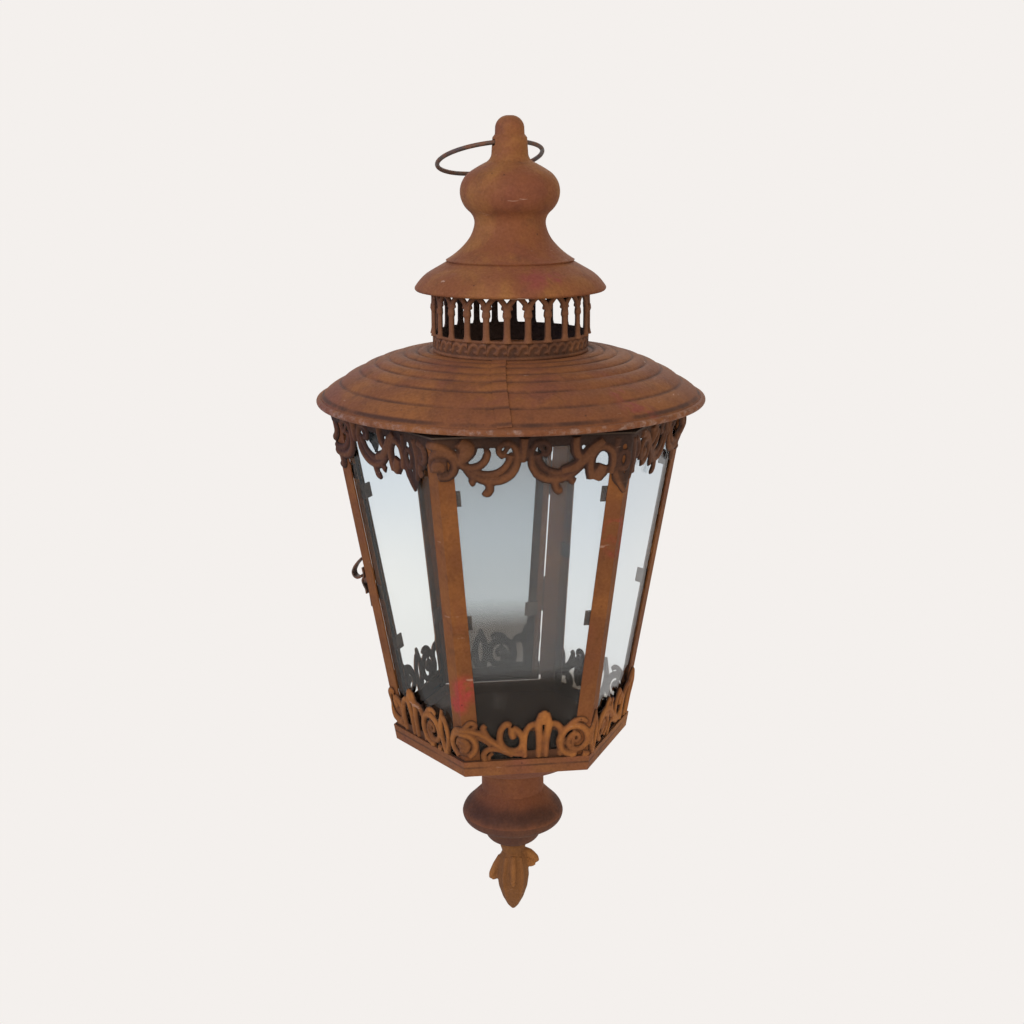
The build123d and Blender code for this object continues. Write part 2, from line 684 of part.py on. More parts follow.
def latch_hook():
    """Hook that drops over the door's stud, with a finger curl at its end."""
    at = latch_plane(LATCH_POST_U)
    reach = LATCH_STUD_U - LATCH_POST_U
    end = (-reach - GRIP_LENGTH, HOOK_WIDTH / 2)
    arm = bar(HOOK_WIDTH, (0, 0), (-reach, 0)) + bar(HOOK_WIDTH - SHEET, (-reach, 0), end)
    half = RIVET_R + 2 * LOOSE
    notch = block(-reach - half, -reach + half, -HOOK_WIDTH, 0) + disc(half, -reach, 0)
    arm = arm - notch - Circle(RIVET_R + PIN_CLEARANCE)
    body = extrude(arm, amount=HOOK_THICK)
    grip = Pos(*end, HOOK_THICK) * extrude(Circle(RIVET_R), amount=GRIP_LENGTH)
    return at * Pos(0, 0, LEAF + LOOSE) * (body + grip)


def latch_stud():
    """Headed stud on the door's latch stile."""
    at = latch_plane(LATCH_STUD_U)
    shank = extrude(Circle(RIVET_R), amount=LEAF + HOOK_THICK + 2 * LOOSE)
    head = Pos(0, 0, LEAF + HOOK_THICK + 2 * LOOSE) * extrude(Circle(1.7 * RIVET_R), amount=LEAF)
    return at * (shank + head)


nodes = {}

# Roof and crown
nodes["crown_bulb"] = crown_bulb()
nodes["crown_skirt"] = crown_skirt()
nodes["vent_gallery"] = vent_gallery()
nodes["roof"] = roof()
nodes["rim_wire"] = rim_wire()
nodes["roof_collar"] = roof_collar()
nodes["ceiling_plate"] = ceiling_plate()
nodes["hanging_ring"] = hanging_ring()

# Fixed posts, panes, friezes, crests and tabs
for n, name in enumerate(CORNERS):
    if n != DOOR_CORNER:
        nodes["post_" + name] = corner_post(n, FLOOR_Z, CEILING_Z)
fixed_tabs = []
for n, name in enumerate(FACETS):
    if n in DOOR_FACETS:
        continue
    nodes["pane_" + name] = pane(n, PANE_INSET, PANE_INSET, PANE_FOOT, CEILING_Z - PANE_FOOT)
    nodes["frieze_" + name] = frieze(n, 0, 0, CEILING_Z)
    nodes["crest_" + name] = crest(n, 0, 0, FLOOR_Z)
    for side in (-1, 1):
        for z in TAB_Z:
            fixed_tabs.append(tab(n, side, PANE_INSET, FLANGE + TAB_REACH, z))
nodes["glass_tabs"] = Compound(fixed_tabs)

# Floor, soffit, pendant and finial
nodes["floor_pan"] = floor_pan()
nodes["soffit_bowl"] = soffit_bowl()
nodes["pendant_cap"] = pendant_cap()
nodes["pendant_bowl"] = pendant_bowl()
nodes["finial"] = finial()
nodes["finial_nut"] = finial_nut()

# Door: side 3 is hung at its left edge, side 4 closes at its right edge
free = FLANGE + DOOR_GAP
door_s0, door_s1 = slope(DOOR_FOOT_Z), slope(DOOR_HEAD_Z, SHEET)
inset = free + PANE_INSET
nodes["door_post"] = corner_post(DOOR_CORNER, DOOR_FOOT_Z, DOOR_HEAD_Z)
nodes["door_hinge_stile"] = plate(3, strip(-1, free, free + STILE, door_s0, door_s1), -SHEET, SHEET)
nodes["door_latch_stile"] = plate(4, strip(1, free, free + STILE, door_s0, door_s1), -SHEET, SHEET)
door_tabs = []
for n, left, right in ((3, free + STILE, FLANGE), (4, FLANGE, free + STILE)):
    name = FACETS[n]
    nodes["door_foot_rail_" + name] = plate(n, panel(left, right, door_s0, door_s0 + RAIL), -SHEET, SHEET)
    nodes["door_head_rail_" + name] = plate(n, panel(left, right, door_s1 - RAIL, door_s1), -SHEET, SHEET)
    pane_left, pane_right = (inset, PANE_INSET) if n == 3 else (PANE_INSET, inset)
    nodes["pane_" + name] = pane(n, pane_left, pane_right, DOOR_FOOT_Z + PANE_FOOT, DOOR_HEAD_Z - PANE_FOOT)
    trim_left, trim_right = (free, 0) if n == 3 else (0, free)
    nodes["frieze_" + name] = frieze(n, trim_left, trim_right, DOOR_HEAD_Z)
    nodes["crest_" + name] = crest(n, trim_left, trim_right, DOOR_FOOT_Z)
    for side, edge in ((-1, pane_left), (1, pane_right)):
        reach = edge - PANE_INSET + FLANGE + TAB_REACH
        for z in DOOR_TAB_Z:
            door_tabs.append(tab(n, side, edge, reach, z))
nodes["door_glass_tabs"] = Compound(door_tabs)

# Hinges and latch
nodes["hinge_post_leaves"], nodes["hinge_door_leaves"], nodes["hinge_pins"] = hinge_pieces()
nodes["latch_plate"] = latch_plate()
nodes["latch_hook"] = latch_hook()
nodes["latch_stud"] = latch_stud()

os.makedirs("parts", exist_ok=True)
for name, shape in nodes.items():
    export_step(shape, "parts/" + name + ".step")
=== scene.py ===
"""Looks of a six-sided hanging lantern of rusted sheet iron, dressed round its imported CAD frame."""

import logging
import math
from collections.abc import Callable, Sequence
from dataclasses import dataclass
from enum import Enum

import bpy
import numpy as np
from mathutils import Matrix, Vector


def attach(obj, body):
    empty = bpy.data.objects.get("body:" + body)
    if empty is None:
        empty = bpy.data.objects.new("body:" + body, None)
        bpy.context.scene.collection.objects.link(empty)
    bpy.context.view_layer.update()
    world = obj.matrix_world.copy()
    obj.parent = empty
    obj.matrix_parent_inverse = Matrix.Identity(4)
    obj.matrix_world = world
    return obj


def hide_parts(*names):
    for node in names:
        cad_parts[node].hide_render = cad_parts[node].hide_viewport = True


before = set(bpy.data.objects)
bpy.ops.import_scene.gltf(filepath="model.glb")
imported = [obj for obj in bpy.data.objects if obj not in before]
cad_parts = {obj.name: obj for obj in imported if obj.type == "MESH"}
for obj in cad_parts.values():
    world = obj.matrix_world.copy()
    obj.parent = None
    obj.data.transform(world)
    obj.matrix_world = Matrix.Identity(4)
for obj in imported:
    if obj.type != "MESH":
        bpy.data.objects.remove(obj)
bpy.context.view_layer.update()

LOG = logging.getLogger("lantern")
MM = 0.001

Point = tuple[float, float, float]
Quad = tuple[float, float, float, float]
Thing = bpy.types.Object
Socket = bpy.types.NodeSocket
Inputs = dict[str | int, object] | Sequence[object]


class Side(Enum):
    """Sides of the cage, counted to the right from the one that faces the camera."""

    FRONT = 0
    FRONT_RIGHT = 1
    BACK_RIGHT = 2
    BACK = 3
    BACK_LEFT = 4
    FRONT_LEFT = 5

    @property
    def label(self) -> str:
        """Name of the side as the CAD nodes write it."""
        return self.name.lower()

    @property
    def steps(self) -> int:
        """Corners that a strip turns from the front to this side, to the left as negative."""
        return self.value if self.value < 4 else self.value - 6

    @property
    def body(self) -> str:
        """CAD body that the side's ornament moves with."""
        return "door" if self in (Side.BACK, Side.BACK_LEFT) else "lantern"


class Relief(Enum):
    """How far a drawn stroke stands out: share of its half width, and lift of its middle in mm."""

    RAISED = (0.8, 0.5)
    FLAT = (0.14, 0.3)
    SHEET = (0.05, 0.35)


def linear(code: str) -> Quad:
    """Turn an sRGB hex colour into linear light.

    Args:
        code: six hex digits.

    Returns:
        Linear red, green, blue and an alpha of one.
    """
    parts = [int(code[i : i + 2], 16) / 255 for i in (0, 2, 4)]
    light = [c / 12.92 if c <= 0.04045 else ((c + 0.055) / 1.055) ** 2.4 for c in parts]
    return (light[0], light[1], light[2], 1.0)


def per_metre(size_mm: float) -> float:
    """Scale of a pattern on object coordinates from its real size in mm."""
    return 1.0 / (size_mm * MM)


def add_node(
    tree: bpy.types.NodeTree, kind: str, inputs: Inputs = (), out: str | int = 0, **settings: object
) -> Socket | None:
    """Add a shader node with its settings, and set or link its inputs.

    Args:
        tree: node tree of the material or world.
        kind: node type without its ShaderNode prefix.
        inputs: values to set or sockets to link, in order or by input name or number.
        out: the output that is wanted, by name or number.
        **settings: properties of the node itself.

    Returns:
        The wanted output, or None where the node ends the tree.
    """
    node = tree.nodes.new("ShaderNode" + kind)
    for name, value in settings.items():
        setattr(node, name, value)
    for key, value in inputs.items() if isinstance(inputs, dict) else enumerate(inputs):
        if isinstance(value, Socket):
            tree.links.new(value, node.inputs[key])
        else:
            node.inputs[key].default_value = value
    return node.outputs[out] if node.outputs else None


def deselect() -> None:
    """Leave nothing selected."""
    bpy.ops.object.select_all(action="DESELECT")


def active() -> Thing:
    """The active object, such as one just added."""
    return bpy.context.view_layer.objects.active


def activate(obj: Thing) -> None:
    """Select one object alone and make it active.

    Args:
        obj: the object.
    """
    deselect()
    obj.select_set(True)
    bpy.context.view_layer.objects.active = obj


def edit(obj: Thing, *operators: Callable[[], object]) -> None:
    """Run mesh operators on all of an object in edit mode.

    Args:
        obj: mesh object to work on.
        *operators: calls made in order while everything is selected.
    """
    activate(obj)
    bpy.ops.object.mode_set(mode="EDIT")
    for operator in operators:
        bpy.ops.mesh.select_all(action="SELECT")
        operator()
    bpy.ops.object.mode_set(mode="OBJECT")


def face_outward() -> None:
    """Turn the selected faces of the mesh in edit mode outward."""
    bpy.ops.mesh.normals_make_consistent(inside=False)


def apply_modifier(obj: Thing, kind: str, **settings: object) -> None:
    """Add a modifier, set it and apply it.

    Args:
        obj: object that gets it.
        kind: modifier type.
        **settings: properties of the modifier.
    """
    modifier = obj.modifiers.new(kind.title(), kind)
    for name, value in settings.items():
        setattr(modifier, name, value)
    activate(obj)
    bpy.ops.object.modifier_apply(modifier=modifier.name)


def melt(obj: Thing, voxel: float, passes: int) -> None:
    """Melt the shells of a mesh into one skin and smooth it.

    Args:
        obj: mesh object.
        voxel: size of the finest form that is kept.
        passes: how often the skin is smoothed.
    """
    apply_modifier(obj, "REMESH", mode="VOXEL", voxel_size=voxel, use_smooth_shade=True)
    apply_modifier(obj, "SMOOTH", factor=0.5, iterations=passes)


def rename(obj: Thing, name: str) -> Thing:
    """Name an object and its data alike, and hand it back."""
    obj.name = obj.data.name = name
    return obj


def join(objects: Sequence[Thing], name: str) -> Thing:
    """Join mesh objects into one.

    Args:
        objects: what is joined, the first one first.
        name: name of the result and its mesh.

    Returns:
        The joined object.
    """
    activate(objects[0])
    for obj in objects:
        obj.select_set(True)
    if len(objects) > 1:
        bpy.ops.object.join()
    return rename(active(), name)


def duplicate(obj: Thing, name: str) -> Thing:
    """Copy an object together with its mesh.

    Args:
        obj: what is copied.
        name: name of the copy and its mesh.

    Returns:
        The copy.
    """
    activate(obj)
    bpy.ops.object.duplicate(linked=False)
    return rename(active(), name)


def remove(obj: Thing) -> None:
    """Delete a working object."""
    activate(obj)
    bpy.ops.object.delete()


def vertices(obj: Thing) -> np.ndarray:
    """Read the places of a mesh object's vertices.

    Args:
        obj: mesh object.

    Returns:
        One row of x, y and z for each vertex.
    """
    places = np.zeros(len(obj.data.vertices) * 3)
    obj.data.vertices.foreach_get("co", places)
    return places.reshape(-1, 3)


def reshape(obj: Thing, move: Callable[[np.ndarray], np.ndarray]) -> None:
    """Move every vertex of a mesh by a rule.

    Args:
        obj: mesh object.
        move: takes the rows of places and returns the new ones.
    """
    obj.data.vertices.foreach_set("co", move(vertices(obj)).astype(np.float32).ravel())
    obj.data.update()


def note_relief(obj: Thing, height: np.ndarray) -> None:
    """Keep on each vertex how far it stands out, for finishes that follow the relief.

    Args:
        obj: mesh object.
        height: one value from 0 to 1 for each vertex.
    """
    layer = obj.data.attributes.new("relief", "FLOAT", "POINT")
    layer.data.foreach_set("value", np.clip(height, 0, 1).astype(np.float32))


def smooth(obj: Thing, degrees: float = 50) -> None:
    """Shade smooth but for edges sharper than an angle."""
    activate(obj)
    bpy.ops.object.shade_smooth_by_angle(angle=math.radians(degrees))


def sweep(paths: Sequence[Sequence[tuple[float, ...]]], **settings: object) -> Thing:
    """Sweep bars along smooth paths.

    Args:
        paths: for each bar its points as x, y, z and radius.
        **settings: properties of the curve, such as its bevel.

    Returns:
        One mesh object in the unit of the points.
    """
    deselect()
    bpy.ops.curve.primitive_bezier_curve_add(location=(0, 0, 0))
    line = active()
    line.data.splines.clear()
    for name, value in {"use_fill_caps": True, **settings}.items():
        setattr(line.data, name, value)
    for path in paths:
        points = line.data.splines.new("BEZIER").bezier_points
        points.add(len(path) - 1)
        for point, (x, y, z, radius) in zip(points, path):
            point.co = (x, y, z)
            point.radius = radius
            point.handle_left_type = point.handle_right_type = "AUTO"
    activate(line)
    bpy.ops.object.convert(target="MESH")
    return active()


@dataclass
class Coat:
    """A material while it is made: its nodes, the coordinates on the piece and its colour so far."""

    material: bpy.types.Material
    place: Socket
    colour: Socket | Quad

    @classmethod
    def start(cls, name: str, ground: str) -> "Coat":
        """Start a material on its ground colour.

        Args:
            name: what the real material is.
            ground: sRGB hex colour under all layers.

        Returns:
            The coat, with object coordinates for its patterns.
        """
        material = bpy.data.materials.new(name)
        material.use_nodes = True
        return cls(material, add_node(material.node_tree, "TexCoord", out="Object"), linear(ground))

    @property
    def shader(self) -> bpy.types.Node:
        """Shader that the coat feeds."""
        return self.material.node_tree.nodes["Principled BSDF"]

    def add(self, kind: str, inputs: Inputs = (), out: str | int = 0, **settings: object) -> Socket:
        """Add a node to the material as add_node does."""
        return add_node(self.material.node_tree, kind, inputs, out, **settings)

    def cover(self, colour: str, share: Socket) -> None:
        """Lay a colour, by its share from 0 to 1, over what the coat shows so far."""
        layers = {0: share, 6: self.colour, 7: linear(colour)}
        self.colour = self.add("Mix", layers, 2, data_type="RGBA")

    def feed(self, name: str, socket: Socket) -> None:
        """Link a socket to an input of the shader."""
        self.material.node_tree.links.new(socket, self.shader.inputs[name])


@dataclass(frozen=True)
class Wear:
    """One clouded layer of rust, dirt or rubbing, and the colour it lays over what is below."""

    colour: str
    size_mm: float
    low: float
    high: float
    share: float = 1.0
    detail: float = 5.0
    rough: float = 0.6
    bend: float = 0.0
    stretch: Point = (1.0, 1.0, 1.0)
    turn: Point = (0.0, 0.0, 0.0)

    def mask(self, coat: Coat, within: Socket | None = None) -> Socket:
        """Add the cloud that says where the layer lies.

        Args:
            coat: the material that gets it.
            within: a mask that keeps the layer to a part of the piece.

        Returns:
            The layer's share, from 0 to its full share.
        """
        at = coat.add("Mapping", {"Vector": coat.place, "Scale": self.stretch, "Rotation": self.turn})
        values = {"Scale": per_metre(self.size_mm), "Detail": self.detail, "Roughness": self.rough}
        cloud = coat.add("TexNoise", {"Vector": at, **values, "Distortion": self.bend}, "Fac")
        limits = (cloud, self.low, self.high, 0.0, self.share)
        share = coat.add("MapRange", limits, interpolation_type="SMOOTHSTEP")
        return share if within is None else coat.add("Math", (share, within), operation="MULTIPLY")

    def lay(self, coat: Coat, within: Socket | None = None) -> None:
        """Lay the colour over what the coat shows so far, all over or within a mask."""
        coat.cover(self.colour, self.mask(coat, within))


@dataclass(frozen=True)
class Rust:
    """Rusted sheet iron: iron oxide, so no metal shine, only a dry chalky scatter."""

    name: str
    ground: str
    bloom: str
    stain_and_shade: str
    russet: str = "73402F"
    patch: str = "8A3A30"
    pale_share: float = 0.25
    stain_share: float = 0.4
    follows_relief: bool = False
    # Radius of the painted highlight on the rim, radii of painted shade lines in the grooves, and heights and
    # half widths of darker level bands.
    rim_highlight_mm: float = 0.0
    shaded_grooves_mm: tuple[float, ...] = ()
    dark_bands_mm: tuple[tuple[float, float], ...] = ()
    crust: float = 0.5
    paint_spots: tuple[Quad, ...] = ()
    # Inner faces this far out from the cage's sides take soot and painted shade.
    soot_and_shade_from_mm: float | None = None

    # Soot and painted shade on the inside share one dark colour.
    SOOT_AND_SHADE = "241C18"
    PIT = "2E1A12"
    WORN = "A08C80"
    GRIT_MM = 1.7
    PIT_MM = 7.5
    GROOVE_MM = 1.6
    DENT_MM = 24.0
    # Heights of the bumps, and the weight of the pits among them.
    GRIT_RISE_MM = 0.25
    PIT_RISE_MM = 0.4
    DENT_RISE_MM = 0.8
    PIT_WEIGHT = 0.5
    SHEEN = 0.28
    # Full inside this share of a line's or a spot's reach, fading from there.
    LINE_CORE = 0.1
    SPOT_CORE = 0.3
    RIM_HIGHLIGHT_FADE_MM = (-0.2, 0.9)
    # Foot of the cage's sides from the axis, how they lean, and the fade of the soot and painted shade on
    # them.
    APOTHEM_MM = 68.68
    APOTHEM_LEAN = 0.1506
    SOOT_AND_SHADE_FADE_MM = 0.3
    # Each spreads the range of its first two values onto the other two, the last from metres.
    GRIT_SHADE = (0.25, 0.75, 0.84, 1.12)
    GRIT_DULL = (0.3, 0.7, 0.88, 0.7)
    PIT_EDGE = (0.05, 0.13, 1.0, 0.0)
    # By the relief: painted shade in the hollows, a painted highlight on the ridges.
    HOLLOW_SHADE = (0.1, 0.72, 0.92, 0.0)
    RIDGE_HIGHLIGHT = (0.72, 1.1, 0.0, 0.7)
    # Soot and painted shade inside, darker low down, by height in metres.
    SOOT_AND_SHADE_BY_HEIGHT = (0.02, 0.12, 0.8, 0.08)

    def make(self) -> bpy.types.Material:
        """Build the material.

        Returns:
            A material with a rust mottle, stains, pits, pale rubs and a gritty bump.
        """
        coat = Coat.start(self.name, self.ground)
        self.mottle(coat)
        if self.follows_relief:
            self.paint_relief_shade_and_highlight(coat)
        self.paint(coat)
        pits = self.pit(coat)
        self.rub(coat)
        self.paint_line_shade_and_rim_highlight(coat)
        if self.soot_and_shade_from_mm is not None:
            self.paint_soot_and_shade_inside(coat)
        self.roughen(coat, pits)
        return coat.material

    def mottle(self, coat: Coat) -> None:
        """Clouds of rust from orange to russet, with dark stains that run down.

        Args:
            coat: the material that gets them.
        """
        streak = self.stain_share * 0.7
        for layer in (
            Wear(self.bloom, 46.0, 0.4, 0.66, detail=6, bend=0.4),
            Wear(self.russet, 70.0, 0.5, 0.66, 0.6, detail=4, bend=0.8),
            Wear(self.stain_and_shade, 13.0, 0.5, 0.74, self.stain_share, detail=6, rough=0.65, bend=0.6),
            Wear(self.stain_and_shade, 9.0, 0.56, 0.76, streak, detail=4, stretch=(1.0, 1.0, 0.16)),
        ):
            layer.lay(coat)

    def paint_relief_shade_and_highlight(self, coat: Coat) -> None:
        """Painted shade in the hollows of pressed work, and a painted highlight on its ridges.

        Args:
            coat: the material that gets them.
        """
        relief = coat.add("Attribute", out="Fac", attribute_name="relief")
        # Hollows take painted shade in the stain colour, ridges a painted highlight in the bloom colour.
        for limits, tone in ((self.HOLLOW_SHADE, self.stain_and_shade), (self.RIDGE_HIGHLIGHT, self.bloom)):
            coat.cover(tone, coat.add("MapRange", (relief, *limits), interpolation_type="SMOOTHSTEP"))

    def paint(self, coat: Coat) -> None:
        """Last flakes of an old red paint, each about one spot.

        Args:
            coat: the material that gets them.
        """
        for x, y, z, size in self.paint_spots:
            ends = (coat.place, (x * MM, y * MM, z * MM))
            away = coat.add("VectorMath", ends, "Value", operation="DISTANCE")
            limits = (away, self.SPOT_CORE * size * MM, size * MM, 1.0, 0.0)
            near = coat.add("MapRange", limits, interpolation_type="SMOOTHSTEP")
            Wear(self.patch, 12.0, 0.38, 0.6, 0.75, rough=0.65, bend=0.5).lay(coat, near)

    def pit(self, coat: Coat) -> Socket:
        """Scattered pits that rust has eaten.

        Args:
            coat: the material that gets them.

        Returns:
            The pits' mask.
        """
        values = {"Vector": coat.place, "Scale": per_metre(self.PIT_MM)}
        cells = coat.add("TexVoronoi", values, "Distance")
        spots = coat.add("MapRange", (cells, *self.PIT_EDGE), interpolation_type="SMOOTHSTEP")
        pits = Wear(self.PIT, 20.0, 0.48, 0.62, 0.6).mask(coat, spots)
        coat.cover(self.PIT, pits)
        return pits

    def rub(self, coat: Coat) -> None:
        """Pale rubs and a few fine scratches.

        Args:
            coat: the material that gets them.
        """
        share = self.pale_share
        for layer in (
            Wear("B0907A", 7.0, 0.66, 0.74, share, 8, 0.7, 0.0, (0.35, 0.35, 1.6), (0.5, 0.35, 0.0)),
            Wear("BFA48F", 16.0, 0.7, 0.73, share, 4, 0.55, 0.3, (0.6, 0.6, 3.0), (0.6, -0.5, 0.3)),
        ):
            layer.lay(coat)

    def paint_line_shade_and_rim_highlight(self, coat: Coat) -> None:
        """Painted shade along turned grooves, darker level bands, and a painted highlight on the rim.

        Args:
            coat: the material that gets them.
        """
        flat = coat.add("VectorMath", (coat.place, (1.0, 1.0, 0.0)), operation="MULTIPLY")
        reach = coat.add("VectorMath", (flat,), "Value", operation="LENGTH")
        height = coat.add("SeparateXYZ", (coat.place,), "Z")
        lines = [(reach, line, self.GROOVE_MM) for line in self.shaded_grooves_mm]
        lines += [(height, line, half) for line, half in self.dark_bands_mm]
        for socket, line, half in lines:
            off = coat.add("Math", (socket, line * MM), operation="SUBTRACT")
            away = coat.add("Math", (off,), operation="ABSOLUTE")
            limits = (away, self.LINE_CORE * half * MM, half * MM, 1.0, 0.0)
            near = coat.add("MapRange", limits, interpolation_type="SMOOTHSTEP")
            # Each line is darkened in the stain colour: painted shade in the grooves and on the pendant.
            Wear(self.stain_and_shade, 34.0, 0.3, 0.6, 0.75).lay(coat, near)
        if self.rim_highlight_mm:
            fade = [(self.rim_highlight_mm + step) * MM for step in self.RIM_HIGHLIGHT_FADE_MM]
            # Painted highlight along the rim bead.
            bead_highlight = Wear(self.WORN, 6.0, 0.46, 0.68, 0.5, detail=7, rough=0.75)
            bead_highlight.lay(coat, coat.add("MapRange", (reach, *fade)))

    def paint_soot_and_shade_inside(self, coat: Coat) -> None:
        """Candle soot and painted shade on what faces into the six-sided cage, darkest near the floor.

        Args:
            coat: the material that gets it.
        """
        reach = None
        for facing in (90, 150, 210):
            a = math.radians(facing)
            ends = (coat.place, (math.cos(a), math.sin(a), 0.0))
            along = coat.add("VectorMath", ends, "Value", operation="DOT_PRODUCT")
            away = coat.add("Math", (along,), operation="ABSOLUTE")
            reach = away if reach is None else coat.add("Math", (reach, away), operation="MAXIMUM")
        height = coat.add("SeparateXYZ", (coat.place,), "Z")
        lean = coat.add("Math", (height, -self.APOTHEM_LEAN), operation="MULTIPLY")
        plumb = coat.add("Math", (reach, lean), operation="ADD")
        edge = self.APOTHEM_MM + self.soot_and_shade_from_mm
        inner = coat.add("MapRange", (plumb, (edge - self.SOOT_AND_SHADE_FADE_MM) * MM, edge * MM, 1.0, 0.0))
        thick = coat.add("MapRange", (height, *self.SOOT_AND_SHADE_BY_HEIGHT))
        coat.cover(self.SOOT_AND_SHADE, coat.add("Math", (inner, thick), operation="MULTIPLY"))

    def roughen(self, coat: Coat, pits: Socket) -> None:
        """Grain in the colour and the sheen, and bumps of dents, grit and pits.

        Args:
            coat: the material that gets them, with its colour finished.
            pits: the pits' mask.
        """
        values = {"Vector": coat.place, "Scale": per_metre(self.GRIT_MM), "Detail": 5.0, "Roughness": 0.6}
        grit = coat.add("TexNoise", values, "Fac")
        shade = coat.add("MapRange", (grit, *self.GRIT_SHADE))
        coat.feed("Base Color", coat.add("VectorMath", {0: coat.colour, "Scale": shade}, operation="SCALE"))
        coat.feed("Roughness", coat.add("MapRange", (grit, *self.GRIT_DULL)))
        coat.shader.inputs["Specular IOR Level"].default_value = self.SHEEN
        values = {"Vector": coat.place, "Scale": per_metre(self.DENT_MM), "Detail": 2.0, "Roughness": 0.4}
        bump = {"Strength": self.crust, "Distance": self.DENT_RISE_MM * MM}
        normal = coat.add("Bump", {**bump, "Height": coat.add("TexNoise", values, "Fac")})
        bump["Distance"] = self.GRIT_RISE_MM * MM
        normal = coat.add("Bump", {**bump, "Height": grit, "Normal": normal})
        bump = {"Strength": self.PIT_WEIGHT, "Distance": self.PIT_RISE_MM * MM}
        coat.feed("Normal", coat.add("Bump", {**bump, "Height": pits, "Normal": normal}, invert=True))


@dataclass(frozen=True)
class WindowGlass:
    """Soda-lime sheet glass: clear and faintly blue-green, with a painted reflection toward the top, and
    darker toward the floor from candle smoke and painted shade.
    """

    name: str = "soda_lime_sheet_glass"
    clear: str = "FAFDFD"
    # Colour of the painted reflection toward the top.
    upper: str = "EDF4F9"
    # Colour and heights of the darker foot: candle smoke, and on the rear and front panes painted shade of
    # the dark surroundings seen through them.
    foot: str = "EEF0EE"
    smoke_and_shade_mm: tuple[float, float] = (4.0, 40.0)
    film: tuple[float, float] = (0.0, 0.0)

    # Heights of the painted reflection toward the top, and size of the clouds in the darker foot.
    TOP_REFLECTION_MM = (110.0, 200.0)
    SMOKE_AND_SHADE_CLOUD_MM = 24.0
    # Thin old panes mirror less of the room than thick new glass does.
    IOR = 1.15
    ROUGHNESS = 0.02

    def make(self) -> bpy.types.Material:
        """Build the material.

        Returns:
            A transmitting material that is tinted by height.
        """
        coat = Coat.start(self.name, self.clear)
        height = coat.add("SeparateXYZ", (coat.place,), "Z")
        # Painted reflection: the glass turns to its top colour toward the top.
        upper = (height, self.TOP_REFLECTION_MM[0] * MM, self.TOP_REFLECTION_MM[1] * MM)
        coat.cover(self.upper, coat.add("MapRange", upper, interpolation_type="SMOOTHSTEP"))
        # Darker foot: candle smoke, and painted shade on the rear and front panes.
        lower = (height, self.smoke_and_shade_mm[0] * MM, self.smoke_and_shade_mm[1] * MM)
        smoke_and_shade = coat.add("MapRange", (*lower, 1.0, 0.0), interpolation_type="SMOOTHSTEP")
        Wear(self.foot, self.SMOKE_AND_SHADE_CLOUD_MM, 0.0, 0.5, detail=6).lay(coat, smoke_and_shade)
        coat.feed("Base Color", coat.colour)
        coat.shader.inputs["Transmission Weight"].default_value = 1.0
        if any(self.film):
            # A film of dust and soot, thicker at the foot, is matt and takes its share of the light.
            shares = (1.0 - self.film[0], 1.0 - self.film[1])
            coat.feed("Transmission Weight", coat.add("MapRange", (*lower, *shares)))
        coat.shader.inputs["Roughness"].default_value = self.ROUGHNESS
        coat.shader.inputs["IOR"].default_value = self.IOR
        return coat.material


@dataclass(frozen=True)
class Wire:
    """Drawn iron wire, dark with mill scale and a little rust: a dull semi-metal sheen."""

    name: str
    scale_tone: str = "46372E"
    rust_tone: str = "6C4834"
    bloom_mm: float = 6.0
    grit_mm: float = 1.2
    grit_rise_mm: float = 0.2
    grit_weight: float = 0.4
    metal: float = 0.35

    # Roughness of the bare scale and of the rust on it.
    DULL = (0.5, 0.8)

    def make(self) -> bpy.types.Material:
        """Build the material.

        Returns:
            A dark, half-metallic material with rust blooms.
        """
        coat = Coat.start(self.name, self.scale_tone)
        bloom = Wear(self.rust_tone, self.bloom_mm, 0.42, 0.62, detail=6).mask(coat)
        coat.cover(self.rust_tone, bloom)
        coat.feed("Base Color", coat.colour)
        coat.feed("Roughness", coat.add("MapRange", (bloom, 0.0, 1.0, *self.DULL)))
        coat.shader.inputs["Metallic"].default_value = self.metal
        values = {"Vector": coat.place, "Scale": per_metre(self.grit_mm), "Detail": 4.0}
        grit = coat.add("TexNoise", values, "Fac")
        bump = {"Strength": self.grit_weight, "Distance": self.grit_rise_mm * MM, "Height": grit}
        coat.feed("Normal", coat.add("Bump", bump))
        return coat.material


